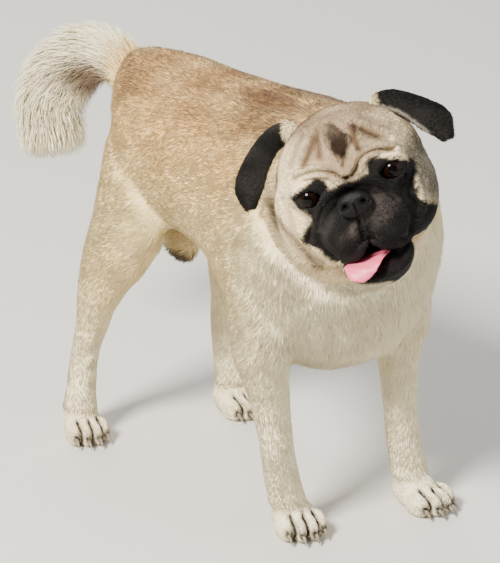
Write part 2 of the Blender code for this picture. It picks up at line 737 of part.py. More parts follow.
def divide(body, frame):
    """Divides the body into its named nodes by thin cuts, from the paws up."""
    nodes = {}

    def take(name, region):
        nodes[name] = part_off(body, name, region)

    for name, (place, _, _) in PAWS.items():
        x, y = place
        low_x, high_x = (x - 0.045, min(x + 0.030, -0.002)) if x < 0 else (max(x - 0.030, 0.002), x + 0.045)
        take(name, block((low_x, y - 0.060, -0.02), (high_x, y + 0.050, PAW_TOP)))
    for side, word in ((-1, "right"), (1, "left")):
        fore = sorted((side * 0.002, side * 0.110))
        hind = sorted((side * 0.014, side * 0.110))
        arm = FORE_RIGHT[-3][0][0] if side < 0 else FORE_LEFT[-3][0][0]
        take(f"pastern_{word}", block((fore[0], -0.09, 0), (fore[1], 0.06, FORE_KNEE)))
        take(f"forearm_{word}", block((arm - 0.030, -0.055, 0), (arm + 0.030, 0.032, ELBOW)))
        take(f"shoulder_{word}", drum(side, SHOULDER_DEEP, SHOULDER_CENTRE, SHOULDER_RADIUS))
        take(f"hind_foot_{word}", block((hind[0], 0.15, 0), (hind[1], 0.30, HOCK)))
        take(f"shank_{word}", block((hind[0], 0.12, 0), (hind[1], 0.30, STIFLE)))
        take(f"thigh_{word}", drum(side, THIGH_DEEP, THIGH_CENTRE, THIGH_RADIUS))
    behind_head = frame @ Matrix.Rotation(math.radians(HEAD_CUT_TILT), 4, "X")
    take("head", block((-0.12, -0.12, -0.12), (0.12, HEAD_CUT, 0.12), behind_head))
    tilt = Matrix.Translation(NECK_CUT) @ Matrix.Rotation(math.radians(NECK_CUT_TILT), 4, "X")
    take("neck", block((-0.12, -0.12, 0.0), (0.12, 0.10, 0.16), tilt))
    take("chest", block((-0.12, -0.12, 0), (0.12, CHEST_END, 0.4)))
    take("loin", block((-0.12, -0.12, 0), (0.12, LOIN_END, 0.4)))
    body.name = "rump"
    body.hide_render = False
    body.display_type = "TEXTURED"
    nodes["rump"] = body
    for node in nodes.values():
        drop_slivers(node)
    return nodes


def main():
    for old in list(bpy.data.objects):
        bpy.data.objects.remove(old)
    frame = head_frame()
    nodes = divide(fuse_body(), frame)

    head = nodes["head"]
    mouth = mouth_cutter(frame)
    cut(head, mouth, "DIFFERENCE")
    remove(mouth)
    keep_largest(head)
    for side, word in ((-1, "right"), (1, "left")):
        place = (side * EYE_SPREAD, -EYE_FORWARD, EYE_HEIGHT)
        nodes[f"eye_{word}"] = ellipsoid(place, (EYE_RADIUS,) * 3, frame, 16, f"eye_{word}")
        lift, spread = EAR_LIFTS[word], EAR_SPREADS[word]
        nodes[f"ear_{word}"] = ear(f"ear_{word}", side, lift, spread, frame)
    nodes["nose"] = nose(frame)
    nodes["tongue"] = tongue(frame)
    for name in ("eye_right", "eye_left", "ear_right", "ear_left", "nose", "tongue"):
        seat(head, nodes[name])

    for name, stance in PAWS.items():
        turn = math.radians(stance[1])
        for k, (x, forward) in enumerate(TOES):
            root = paw_frame(*stance) @ Vector((x * 1.05, -forward - 0.0085, TOE_HEIGHT - 0.0005))
            claw_name = f"claw_{name}_{k + 1}"
            nodes[claw_name] = claw(claw_name, root, turn)
            seat(nodes[name], nodes[claw_name])

    tail = Tail()
    nodes["tail_root"] = tail.tube("tail_root", 0.0, TAIL_SPLIT, 9, tail.half, 16)
    nodes["tail_brush"] = tail_brush(tail)
    seat(nodes["rump"], nodes["tail_root"])

    turn = Euler([math.radians(angle) for angle in COLLAR_TURN]).to_matrix().to_4x4()
    band = frame @ Matrix.Translation(COLLAR_PLACE) @ turn
    nodes["collar"] = collar(band)
    for name in ("head", "neck", "chest"):
        seat(nodes[name], nodes["collar"])

    coat = finish("cream coat", (0.62, 0.47, 0.30))
    black = finish("black velvet coat", (0.02, 0.018, 0.017))
    looks = {"ear": black, "nose": finish("wet nose leather", (0.012, 0.011, 0.011), 0.4),
             "eye": finish("dark eye", (0.02, 0.010, 0.006), 0.1),
             "tongue": finish("pink tongue", (0.78, 0.27, 0.30), 0.4),
             "claw": finish("pale claw horn", (0.45, 0.36, 0.27), 0.5),
             "collar": finish("dark webbing collar", (0.02, 0.025, 0.03), 0.7)}
    low = np.array([np.array([v.co for v in node.data.vertices]).min(axis=0) for node in nodes.values()])
    high = np.array([np.array([v.co for v in node.data.vertices]).max(axis=0) for node in nodes.values()])
    low, high = low.min(axis=0), high.max(axis=0)
    shift = Vector((-(low[0] + high[0]) / 2, -(low[1] + high[1]) / 2, 0))
    for name, node in nodes.items():
        node.data.transform(Matrix.Translation(shift))
        node.data.materials.clear()
        node.data.materials.append(looks.get(name.split("_")[0], coat))


main()
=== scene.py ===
import math

import bmesh
import bpy
import numpy as np
from mathutils import Matrix, Vector


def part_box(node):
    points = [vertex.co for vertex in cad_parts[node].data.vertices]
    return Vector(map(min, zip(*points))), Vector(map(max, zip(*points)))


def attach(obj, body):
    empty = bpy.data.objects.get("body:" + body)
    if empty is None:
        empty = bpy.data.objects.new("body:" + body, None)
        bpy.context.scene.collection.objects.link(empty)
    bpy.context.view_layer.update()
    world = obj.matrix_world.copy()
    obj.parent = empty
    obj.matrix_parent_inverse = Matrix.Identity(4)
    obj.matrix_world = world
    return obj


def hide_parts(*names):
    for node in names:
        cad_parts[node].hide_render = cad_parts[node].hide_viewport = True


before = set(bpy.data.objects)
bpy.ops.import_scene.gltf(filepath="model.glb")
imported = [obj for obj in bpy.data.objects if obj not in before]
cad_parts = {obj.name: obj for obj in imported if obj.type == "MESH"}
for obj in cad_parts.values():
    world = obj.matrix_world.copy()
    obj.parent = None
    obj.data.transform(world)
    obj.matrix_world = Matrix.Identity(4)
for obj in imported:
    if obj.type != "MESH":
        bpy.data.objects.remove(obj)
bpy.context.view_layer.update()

# The dog faces -Y with its left side at +X. Lengths are in metres unless a name says millimetres.
SIDES = ((-1, "right"), (1, "left"))
FLESH = ["head", "neck", "chest", "loin", "rump", "tail_root"]
for _, side_word in SIDES:
    FLESH += [f"{part}_{side_word}" for part in ("shoulder", "forearm", "pastern", "forepaw",
                                                 "thigh", "shank", "hind_foot", "hindpaw")]
CLAWS = [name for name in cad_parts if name.startswith("claw_")]

# The head's own frame, as in the part's source: -Y out of the face, +X to the dog's left
HEAD_PLACE = Vector((-0.0496, -0.0933, 0.2995))
HEAD_YAW, HEAD_PITCH, HEAD_ROLL = -38.0, -5.0, -21.0
EYE_RADIUS = 0.0105
EYE_PLACE = (0.0286, -0.0310, 0.0016)
NOSE_PLACE = (0.0, -0.0590, -0.0068)
NOSE_RADII = (0.0117, 0.0056, 0.0086)
MOUTH_PLACE = (-0.0025, -0.0400, -0.0460)


def head_turn():
    turn = Matrix.Rotation(math.radians(HEAD_YAW), 3, "Z")
    turn = turn @ Matrix.Rotation(math.radians(HEAD_PITCH), 3, "X")
    return turn @ Matrix.Rotation(math.radians(HEAD_ROLL), 3, "Y")


def find_shift():
    """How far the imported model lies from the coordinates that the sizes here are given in."""
    low, high = (Vector(corner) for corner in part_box("eye_right"))
    eye = HEAD_PLACE + head_turn() @ Vector((-EYE_PLACE[0], EYE_PLACE[1], EYE_PLACE[2]))
    found = (low + high) / 2 - eye
    return Vector((found.x, found.y, 0.0))


SHIFT = find_shift()
HEAD = Matrix.Translation(HEAD_PLACE + SHIFT) @ head_turn().to_4x4()
SHIFT_ARRAY = np.array(SHIFT)
HEAD_TURN = np.array(head_turn())
HEAD_ORIGIN = np.array(HEAD_PLACE + SHIFT)

# Paws: place on the floor, heading in degrees and size, and the toes of one as across and forward
PAWS = (((-0.035, -0.012), -12.0, 1.0), ((0.067, -0.031), 6.0, 1.0),
        ((-0.0715, 0.2250), -10.0, 0.92), ((0.0573, 0.1980), 6.0, 0.92))
TOES = ((-0.0135, 0.008), (-0.0048, 0.0135), (0.0048, 0.0135), (0.0135, 0.008))
TOE_RADII = (0.0051, 0.0122, 0.0092)
TOE_HEIGHT = 0.0092
TOE_GAPS = (-0.00915, 0.0, 0.00915)

# Tail: centre line and half width, as in the part's source
TAIL_ROUTE = ((0.0, 0.246, 0.272), (0.0, 0.272, 0.286), (-0.003, 0.300, 0.289), (-0.011, 0.325, 0.279),
              (-0.021, 0.339, 0.259), (-0.027, 0.341, 0.240), (-0.029, 0.333, 0.215))
TAIL_HALF_WIDTHS = (0.014, 0.0185, 0.0225, 0.0275, 0.0295, 0.0290, 0.0265)

# The sheath under the belly: its middle and its radii
SHEATH = ((-0.004, 0.184, 0.168), (0.0090, 0.0200, 0.0185))

# Depth of the coat over the skin
BODY_COAT, LEG_COAT, FACE_COAT, PAW_COAT = 0.0019, 0.0011, 0.0005, 0.0004

# The grain of the skin when its solids are fused and when the face and toes are added,
# and the share of its faces that is kept away from them
BODY_VOXEL, DETAIL_VOXEL, BODY_SHARE = 0.0022, 0.0013, 0.19

# Drawing of the face on an upright plane through the eyes, in millimetres to the dog's left and up
MASK_OUTLINE = (
    (-41.2, 6.7), (-35.3, 8.0), (-27.7, 10.4), (-20.1, 12.5), (-14.4, 9.8), (-14.0, 4.0), (-9.5, 3.2),
    (0.0, 4.6), (8.0, 3.6), (13.5, 5.0), (14.0, 10.5), (16.3, 13.3), (24.8, 11.5), (35.0, 7.3), (45.0, 2.7),
    (42.6, -6.3), (39.6, -13.6), (39.5, -21.9), (44.0, -27.8), (49.5, -32.0), (47.5, -39.9), (40.5, -48.5),
    (32.5, -57.5), (24.5, -66.5), (12.4, -71.5), (0.4, -70.0), (-9.0, -66.5), (-18.0, -64.5),
    (-25.0, -58.0), (-25.0, -50.0), (-31.6, -41.1), (-37.7, -31.1), (-43.4, -26.4), (-42.3, -20.7),
    (-36.7, -16.1), (-32.6, -12.9), (-35.3, -5.5), (-40.4, 1.2))
DIAMOND = ((1.1, 47.0), (3.3, 41.9), (9.5, 33.7), (8.5, 28.0), (4.0, 22.0), (0.0, 17.5), (-2.6, 22.0),
           (-4.6, 28.0), (-4.6, 36.0), (-1.5, 43.0))
SMUDGES = (((-12.5, 38.4), (-18.3, 31.0), (-25.3, 23.6)), ((16.0, 36.5), (21.0, 31.5), (27.0, 25.5)),
           ((-9.0, 42.0), (-11.0, 33.0), (-13.0, 25.0)), ((13.5, 37.0), (12.5, 29.0), (13.3, 21.2)))
# Line of painted shade in the fold between the dog's right cheek and its neck
CHEEK_FOLD_SHADE = ((-57.0, 12.0), (-55.3, -0.3), (-52.0, -12.0), (-45.4, -28.2), (-39.2, -46.0))
# Grey lines of painted highlight along the folded rim of each ear
EAR_RIM_HIGHLIGHTS = (((-31.8, 41.4), (-38.1, 37.6), (-44.4, 31.3), (-48.8, 24.4)),
            ((34.8, 46.6), (42.9, 40.9), (50.4, 33.0), (55.9, 24.4), (60.1, 17.0)))
# Creases as a route, a width and a depth
CREASES = (
    (((-34.5, 17.5), (-28.4, 17.8), (-21.6, 17.8), (-15.4, 16.2), (-8.5, 12.0), (-5.2, 7.6), (-1.6, 5.9)),
     1.4, 2.3),
    (((34.5, 14.0), (23.3, 16.9), (15.9, 16.8), (10.8, 14.4), (7.4, 9.6), (2.8, 6.4), (-1.6, 5.9)), 1.4, 2.5),
    (((1.1, 46.0), (8.0, 36.5), (11.0, 29.5), (4.0, 21.0), (-0.5, 14.5)), 1.5, 1.3),
    (((-1.5, 45.0), (-5.0, 37.0), (-4.8, 28.0), (-1.5, 19.0)), 1.5, 1.3),
    (((-11.3, 38.4), (-18.3, 31.0), (-25.3, 23.6)), 2.2, 1.3),
    (((-18.0, 44.0), (-26.0, 36.0), (-34.0, 26.0)), 2.0, 0.9),
    (((19.8, 34.1), (25.8, 27.7), (34.0, 22.0)), 2.0, 1.2),
    (((16.6, 37.0), (12.5, 27.8), (13.3, 21.2)), 1.6, 1.2),
    (((22.0, 43.0), (30.0, 36.0), (38.0, 28.0)), 2.0, 0.9),
    (((-30.5, -19.0), (-25.0, -10.5), (-17.5, -5.0), (-9.0, -1.8), (-0.5, -0.8), (8.0, -2.2), (14.5, -6.0),
      (20.5, -11.5), (24.5, -18.0)), 1.3, 1.6),
    (((-3.4, -21.5), (-4.0, -28.0), (-4.6, -34.5)), 1.2, 1.8),
    (((-40.5, -2.0), (-35.5, -9.0), (-34.0, -16.0), (-38.0, -24.0)), 1.7, 1.7),
    (((42.5, -4.0), (37.0, -12.0), (34.5, -20.0), (39.0, -28.0)), 1.7, 1.7),
    (((-45.5, 9.0), (-46.0, -4.0), (-47.5, -16.0), (-43.5, -30.0), (-35.5, -44.0)), 1.8, 1.5),
    (((-31.0, -24.0), (-29.0, -32.0), (-25.5, -39.0)), 1.5, 1.2),
    (((30.0, -24.0), (30.0, -33.0), (26.0, -41.0)), 1.5, 1.2))


# Meshes

def as_object(name, bm):
    mesh = bpy.data.meshes.new(name)
    bm.to_mesh(mesh)
    bm.free()
    made = bpy.data.objects.new(name, mesh)
    bpy.context.scene.collection.objects.link(made)
    return made


def add_mesh(bm, part):
    """Adds one bmesh to another and frees it."""
    scrap = bpy.data.meshes.new("scrap")
    part.to_mesh(scrap)
    part.free()
    bm.from_mesh(scrap)
    bpy.data.meshes.remove(scrap)


def add_copy(bm, node, grow=0.0):
    """Adds a welded copy of a node, swollen a little to close the gaps to its neighbours."""
    part = bmesh.new()
    part.from_mesh(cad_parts[node].data)
    bmesh.ops.remove_doubles(part, verts=part.verts, dist=1e-6)
    part.normal_update()
    for vertex in part.verts:
        vertex.co += vertex.normal * grow
    add_mesh(bm, part)


def apply_modifiers(piece):
    """Gives an object the mesh that its modifiers make."""
    graph = bpy.context.evaluated_depsgraph_get()
    mesh = bpy.data.meshes.new_from_object(piece.evaluated_get(graph))
    piece.modifiers.clear()
    old = piece.data
    piece.data = mesh
    bpy.data.meshes.remove(old)


def remesh(piece, voxel, rounds):
    """Fuses an object's surfaces into one smooth skin of small squares."""
    fuse = piece.modifiers.new("fuse", "REMESH")
    fuse.mode = "VOXEL"
    fuse.voxel_size = voxel
    smooth = piece.modifiers.new("smooth", "SMOOTH")
    smooth.factor = 0.5
    smooth.iterations = rounds
    apply_modifiers(piece)


def points_of(mesh):
    found = np.empty(len(mesh.vertices) * 3)
    mesh.vertices.foreach_get("co", found)
    return found.reshape(-1, 3)


def normals_of(mesh):
    found = np.empty(len(mesh.vertices) * 3)
    mesh.vertices.foreach_get("normal", found)
    return found.reshape(-1, 3)


def press_in(mesh, depths):
    """Moves each vertex inwards along its normal."""
    points = points_of(mesh) - normals_of(mesh) * depths[:, None]
    mesh.vertices.foreach_set("co", points.ravel())
    mesh.update()


def curve_through(points, count):
    """Points on a smooth curve through the given points."""
    given = np.array(points, float)
    ends = np.vstack([2 * given[0] - given[1], given, 2 * given[-1] - given[-2]])
    found = []
    for t in np.linspace(0, len(given) - 1, count):
        i = min(int(t), len(given) - 2)
        u = t - i
        a, b, c, d = ends[i:i + 4]
        found.append(0.5 * (2 * b + (c - a) * u + (2 * a - 5 * b + 4 * c - d) * u ** 2
                            + (3 * b - a - 3 * c + d) * u ** 3))
    return np.array(found)


def add_ball(bm, centre, radii, place=HEAD, around=24):
    where = place @ Matrix.Translation(centre) @ Matrix.Diagonal((*radii, 1.0))
    bmesh.ops.create_uvsphere(bm, u_segments=around, v_segments=around // 2, radius=1.0, matrix=where)


def add_rope(bm, points, radius, count=26):
    """A string of overlapping balls along a curve of the head, which the remesh turns into a soft fold."""
    for i, centre in enumerate(curve_through(points, count)):
        fade = 1.0 - 0.55 * abs(2 * i / (count - 1) - 1) ** 4
        where = HEAD @ Matrix.Translation(centre)
        bmesh.ops.create_icosphere(bm, subdivisions=2, radius=radius * fade, matrix=where)


# Numbers that vary over the surfaces

def smooth_step(low, high, value):
    t = np.clip((value - low) / (high - low), 0, 1)
    return t * t * (3 - 2 * t)


def mix(low, high, share):
    return low * (1 - share) + high * share


def unit(vectors):
    return vectors / (np.linalg.norm(vectors, axis=1)[:, None] + 1e-12)


def waves(points, size, seed):
    """Smooth random values near -1 to 1 that change over about one size."""
    draw = np.random.default_rng(seed)
    total = np.zeros(len(points))
    for _ in range(7):
        ahead = draw.normal(size=3)
        ahead *= draw.uniform(0.7, 1.5) / np.linalg.norm(ahead)
        total += np.sin(points @ ahead * (math.pi / size) + draw.uniform(0, 2 * math.pi))
    return total / 2.6


def head_places(points):
    """Points in the head's own frame."""
    return (points - HEAD_ORIGIN) @ HEAD_TURN


def head_share(points):
    """1 on the head, sinking to 0 on the neck behind the cheeks."""
    local = head_places(points)
    away = np.linalg.norm(local - np.array((0.0, -0.004, -0.012)), axis=1)
    return smooth_step(0.092, 0.080, away) * smooth_step(0.052, 0.030, local[:, 1])


def drawn(local):
    """Where a point of the face shows, in millimetres, on the drawing plane of the face."""
    depth = local[:, 1] + 0.035
    return np.stack([local[:, 0] + 0.092 * depth, local[:, 2] + 0.206 * depth], axis=1) * 1000


def segment_gaps(places, route):
    """The distance of each place from each straight piece of a route."""
    a, b = route[:-1], route[1:]
    ahead = b - a
    away = places[:, None, :] - a[None]
    share = np.clip((away * ahead).sum(axis=2) / np.maximum((ahead ** 2).sum(axis=1), 1e-9), 0, 1)
    return np.linalg.norm(away - share[:, :, None] * ahead, axis=2)


def line_gap(places, line):
    """The distance of each place from a smooth line on the drawing plane."""
    route = curve_through([(*point, 0) for point in line], 5 * len(line))[:, :2]
    return segment_gaps(places, route).min(axis=1)


def line_shade(places, line, width):
    """1 on a smooth line of the drawing plane, sinking to 0 on both sides of it."""
    return np.exp(-(line_gap(places, line) / width) ** 2)


def outline_depth(places, outline):
    """How far inside a closed outline each place lies, below 0 outside."""
    corners = np.array(outline)
    ring = np.vstack([corners, corners[:1]])
    gap = segment_gaps(places, ring).min(axis=1)
    x, y = places[:, :1], places[:, 1:]
    (x1, y1), (x2, y2) = ring[:-1].T, ring[1:].T
    crosses = ((y1 > y) != (y2 > y)) & (x < x1 + (x2 - x1) * (y - y1) / (y2 - y1 + 1e-12))
    inside = crosses.sum(axis=1) % 2 == 1
    return np.where(inside, gap, -gap)


def spot(places, centre, radii, turn=0.0, edge=0.35):
    """1 inside an oval of the drawing plane, sinking to 0 over its edge."""
    c, s = math.cos(math.radians(turn)), math.sin(math.radians(turn))
    away = places - np.array(centre)
    across = (away[:, 0] * c + away[:, 1] * s) / radii[0]
    rise = (-away[:, 0] * s + away[:, 1] * c) / radii[1]
    return 1 - smooth_step(1 - edge, 1 + edge, np.hypot(across, rise))


def toe_gaps(points):
    """How deep between two toes each point lies, and how near to the root of a claw."""
    gap, bed = np.zeros(len(points)), np.zeros(len(points))
    for place, heading, size in PAWS:
        turn = math.radians(heading)
        away = (points[:, :2] - np.array((place[0] + SHIFT.x, place[1] + SHIFT.y))) / size
        across = away[:, 0] * math.cos(turn) + away[:, 1] * math.sin(turn)
        forward = away[:, 0] * math.sin(turn) - away[:, 1] * math.cos(turn)
        near = smooth_step(0.030, 0.026, np.abs(across)) * smooth_step(0.023, 0.016, points[:, 2])
        for middle in TOE_GAPS:
            here = np.exp(-((across - middle) / 0.0017) ** 2) * smooth_step(0.000, 0.008, forward)
            gap = np.maximum(gap, here * near * (forward < 0.035))
        for x, reach in TOES:
            root = np.stack([across - x * 1.05, forward - reach - 0.0105, points[:, 2] - 0.0085], axis=1)
            bed = np.maximum(bed, np.exp(-(np.linalg.norm(root, axis=1) / 0.0036) ** 2))
    return gap, bed


class Tail:
    """Centre line, direction and half width at any fraction of the tail's length."""

    def __init__(self, count=200):
        self.route = curve_through(TAIL_ROUTE, count) + SHIFT_ARRAY
        self.halves = curve_through([(half, 0, 0) for half in TAIL_HALF_WIDTHS], count)[:, 0]
        self.along = np.linspace(0, 1, count)
        self.ahead = unit(np.gradient(self.route, axis=0))
        self.length = np.linalg.norm(np.diff(self.route, axis=0), axis=1).sum()

    def at(self, t, table):
        if table.ndim == 1:
            return np.interp(t, self.along, table)
        return np.stack([np.interp(t, self.along, table[:, k]) for k in range(3)], axis=1)

    def centre(self, t):
        past = np.maximum(t - 1, 0)[:, None] * self.length
        return self.at(np.minimum(t, 1), self.route) + self.ahead[-1] * past

    def core(self, t):
        """The flesh under the long hair: full at the root, slim in the brush."""
        return self.at(t, self.halves) * mix(0.86, 0.40, smooth_step(0.15, 0.55, np.asarray(t)))

    def nearest(self, points):
        """The fraction of the tail nearest to each point."""
        steps = self.route[::6]
        gaps = ((points[:, None, :] - steps[None]) ** 2).sum(axis=2)
        return self.along[::6][gaps.argmin(axis=1)]


TAIL = Tail()


# The skin under the coat

def coat_depths(points):
    """How far the skin lies inside the outline of the coat."""
    head = head_share(points)
    depth = mix(BODY_COAT, LEG_COAT, smooth_step(0.170, 0.110, points[:, 2]))
    depth = mix(depth, PAW_COAT, smooth_step(0.036, 0.024, points[:, 2]))
    return mix(depth, FACE_COAT, head)


def lid_route(side, rise_sign, height):
    """Half a ring round the eye opening."""
    eye = Vector((side * EYE_PLACE[0], EYE_PLACE[1], EYE_PLACE[2]))
    route = []
    for turn in range(0, 181, 20):
        across, rise = math.cos(math.radians(turn)), math.sin(math.radians(turn))
        forward = -0.0068 - 0.0028 * rise + 0.0026 * across
        route.append(eye + Vector((side * 0.0088 * across, forward, rise_sign * height * rise + 0.0004)))
    return route


def face_details(bm):
    """Folds, lids, flews and lips that are finer than the solid of the head."""
    for side, _ in SIDES:
        def mirrored(*points):
            return [(side * x, y, z) for x, y, z in points]
        add_rope(bm, lid_route(side, 1, 0.0072), 0.0019)
        add_rope(bm, lid_route(side, -1, 0.0070), 0.0017)
        add_rope(bm, mirrored((0.0, -0.0540, 0.0058), (0.0100, -0.0535, 0.0047), (0.0200, -0.0490, -0.0035),
                              (0.0280, -0.0400, -0.0155), (0.0335, -0.0300, -0.0280)), 0.0046)
        add_rope(bm, mirrored((0.0085, -0.0375, 0.0125), (0.0160, -0.0380, 0.0170), (0.0255, -0.0350, 0.0185),
                              (0.0355, -0.0265, 0.0150)), 0.0042)
        add_rope(bm, mirrored((0.0360, -0.0270, -0.0010), (0.0395, -0.0240, -0.0120),
                              (0.0385, -0.0260, -0.0240), (0.0345, -0.0310, -0.0360)), 0.0046)
        add_ball(bm, mirrored((0.0122, -0.0455, -0.0275))[0], (0.0128, 0.0140, 0.0160))
        add_rope(bm, mirrored((0.0015, -0.0590, -0.0330), (0.0085, -0.0585, -0.0400),
                              (0.0165, -0.0500, -0.0440), (0.0235, -0.0390, -0.0450)), 0.0026)
        add_rope(bm, mirrored((0.0, -0.0520, -0.0600), (0.0100, -0.0505, -0.0590),
                              (0.0180, -0.0450, -0.0560), (0.0235, -0.0360, -0.0500)), 0.0036)


def toe_details(bm):
    for place, heading, size in PAWS:
        here = Matrix.Translation((place[0] + SHIFT.x, place[1] + SHIFT.y, 0))
        here = here @ Matrix.Rotation(math.radians(heading), 4, "Z") @ Matrix.Diagonal((size, size, 1, 1))
        for x, forward in TOES:
            add_ball(bm, (x, -forward, TOE_HEIGHT), TOE_RADII, here)


def tail_core(bm):
    for t in np.linspace(0.02, 0.90, 46):
        where = Matrix.Translation(TAIL.centre(np.array([t]))[0])
        bmesh.ops.create_icosphere(bm, subdivisions=2, radius=float(TAIL.core(t)), matrix=where)


def crease_depths(points):
    """How deep the creases press into the face, with soft swells beside them, and the gaps between toes."""
    deep = 0.0023 * toe_gaps(points)[0]
    local = head_places(points)
    face = np.flatnonzero((np.linalg.norm(local, axis=1) < 0.085) & (local[:, 1] < 0.018))
    places = drawn(local[face])
    pressed = np.zeros(len(face))
    for line, width, depth in CREASES:
        gap = line_gap(places, line)
        pressed += depth * (np.exp(-(gap / width) ** 2) - 0.32 * np.exp(-((gap - 2.2 * width) / width) ** 2))
    deep[face] += 0.001 * pressed * smooth_step(0.018, 0.000, local[face, 1])
    return deep


def soften_flanks(skin):
    """Smooths the body where the thighs run into it, in four steps of strength."""
    x, y, z = (points_of(skin.data) - SHIFT_ARRAY).T
    flank = smooth_step(0.085, 0.120, y) * smooth_step(0.280, 0.262, y) * smooth_step(0.115, 0.150, z)
    group = skin.vertex_groups.new(name="flank")
    for step in range(1, 5):
        chosen = np.flatnonzero(np.ceil(flank * 4) == step)
        group.add([int(i) for i in chosen], step / 4, "REPLACE")
    smooth = skin.modifiers.new("flanks", "SMOOTH")
    smooth.factor = 0.5
    smooth.iterations = 40
    smooth.vertex_group = "flank"
    apply_modifiers(skin)
    skin.vertex_groups.clear()


def make_skin():
    bm = bmesh.new()
    for node in FLESH:
        add_copy(bm, node, 0.00025)
    skin = as_object("skin", bm)
    remesh(skin, BODY_VOXEL, 9)
    soften_flanks(skin)
    press_in(skin.data, coat_depths(points_of(skin.data)))
    bm = bmesh.new()
    bm.from_mesh(skin.data)
    for add in (tail_core, face_details, toe_details):
        part = bmesh.new()
        add(part)
        add_mesh(bm, part)
    part = bmesh.new()
    add_ball(part, Vector(SHEATH[0]) + SHIFT, SHEATH[1], Matrix.Identity(4))
    add_mesh(bm, part)
    bm.to_mesh(skin.data)
    bm.free()
    remesh(skin, DETAIL_VOXEL, 3)
    points = points_of(skin.data)
    press_in(skin.data, crease_depths(points))
    fine = (np.linalg.norm(points - HEAD_ORIGIN, axis=1) < 0.082) | (points[:, 2] < 0.030)
    coarse = skin.vertex_groups.new(name="coarse")
    coarse.add([int(i) for i in np.flatnonzero(~fine)], 1.0, "REPLACE")
    thin = skin.modifiers.new("thin", "DECIMATE")
    thin.ratio = fine.mean() + BODY_SHARE * (1 - fine.mean())
    thin.vertex_group = "coarse"
    apply_modifiers(skin)
    skin.vertex_groups.clear()
    skin.data.shade_smooth()
    return skin


# One flat map for the whole coat

BODY_CENTRES = ((0.0, 0.095, 0.220), (-0.015, 0.300, 0.250), (-0.050, -0.010, 0.080), (0.062, -0.018, 0.080),
                (-0.062, 0.205, 0.080), (0.060, 0.195, 0.080))
EAR_CENTRES = ((-0.055, 0.0, 0.020), (0.055, 0.0, 0.020))
REGION_CENTRES = np.array([HEAD_ORIGIN] + [SHIFT_ARRAY + np.array(place) for place in BODY_CENTRES]
                          + [HEAD_ORIGIN + HEAD_TURN @ np.array(place) for place in EAR_CENTRES])
HEAD_REGION, TRUNK, TAIL_REGION, FIRST_LEG, FIRST_EAR = 0, 1, 2, 3, 7
REGION_EXTENTS = np.array([0.150, 0.345, 0.150, 0.180, 0.180, 0.190, 0.190, 0.080, 0.080])
TILE_SIZES = np.array([0.2, 1 / 6] + [0.1] * 7)
# The width of one tuft's patch on the map
PATCH = 0.003


def tile_corners():
    """Sets six tiles for each region on shelves, the largest first."""
    corners = np.zeros((len(TILE_SIZES), 6, 2))
    x, y, shelf = 0.0, 0.0, TILE_SIZES[0]
    for region, size in enumerate(TILE_SIZES):
        for way in range(6):
            if x + size > 1.0001:
                x, y, shelf = 0.0, y + shelf, size
            corners[region, way] = x, y
            x += size
    return corners


TILE_CORNERS = tile_corners()


def regions_of(points):
    place = points - SHIFT_ARRAY
    region = np.full(len(points), TRUNK)
    legs = place[:, 2] < 0.150
    which = FIRST_LEG + 2 * (place[:, 1] > 0.09) + (place[:, 0] > 0)
    region[legs] = which[legs]
    region[place[:, 1] > 0.262] = TAIL_REGION
    region[head_share(points) > 0.5] = HEAD_REGION
    return region


def on_head(region):
    """The head and the ears are mapped along the head's own axes."""
    return (region == HEAD_REGION) | (region >= FIRST_EAR)


def ways_of(normals, region):
    """Which of the six ways along the axes each normal looks."""
    turned = np.where(on_head(region)[:, None], normals @ HEAD_TURN, normals)
    axis = np.abs(turned).argmax(axis=1)
    return 2 * axis + (turned[np.arange(len(axis)), axis] > 0)


def on_map(points, region, way):
    """The place on the OFBake map of points that belong to tiles."""
    away = points - REGION_CENTRES[region]
    away = np.where(on_head(region)[:, None], away @ HEAD_TURN, away)
    axes = np.array(((1, 2), (0, 2), (0, 1)))[way // 2]
    rows = np.arange(len(points))
    flat = np.stack([away[rows, axes[:, 0]], away[rows, axes[:, 1]]], axis=1)
    flat = np.clip(flat / REGION_EXTENTS[region][:, None] + 0.5, 0.02, 0.98)
    return TILE_CORNERS[region, way] + flat * TILE_SIZES[region][:, None]


def unwrap(piece, region=None):
    """Lays a piece's faces on the OFBake map."""
    mesh = piece.data
    corners = np.empty(len(mesh.loops), np.int32)
    mesh.loops.foreach_get("vertex_index", corners)
    sizes = np.empty(len(mesh.polygons), np.int32)
    centres, normals = np.empty((2, len(mesh.polygons) * 3))
    mesh.polygons.foreach_get("loop_total", sizes)
    mesh.polygons.foreach_get("center", centres)
    mesh.polygons.foreach_get("normal", normals)
    centres, normals = centres.reshape(-1, 3), normals.reshape(-1, 3)
    found = regions_of(centres) if region is None else np.full(len(centres), region)
    way = ways_of(normals, found)
    layer = mesh.uv_layers.new(name="OFBake")
    uv = on_map(points_of(mesh)[corners], np.repeat(found, sizes), np.repeat(way, sizes))
    layer.data.foreach_set("uv", uv.ravel())


# Colours of the coat

def linear(code):
    """A hex sRGB colour as linear numbers."""
    parts = [int(code[i:i + 2], 16) / 255 for i in (1, 3, 5)]
    return np.array([c / 12.92 if c <= 0.04045 else ((c + 0.055) / 1.055) ** 2.4 for c in parts])


CREAM = linear("#F8E0A8")
WHITE = linear("#FBEFD0")
GOLD = linear("#F5CC86")
TAN = linear("#B98650")
BROWN = linear("#54371F")
BROW = linear("#998469")
FACE = linear("#F2DDB4")
GREY = linear("#8A8375")
MASK = linear("#0F0C0B")
MASK_GREY = linear("#3B3431")
# Inside of the mouth: dark lining, painted near black as painted shade of the cavity
MOUTH = linear("#0C0405")


def blend(base, colour, share):
    return base + (colour - base) * np.clip(share, 0, 1)[:, None]


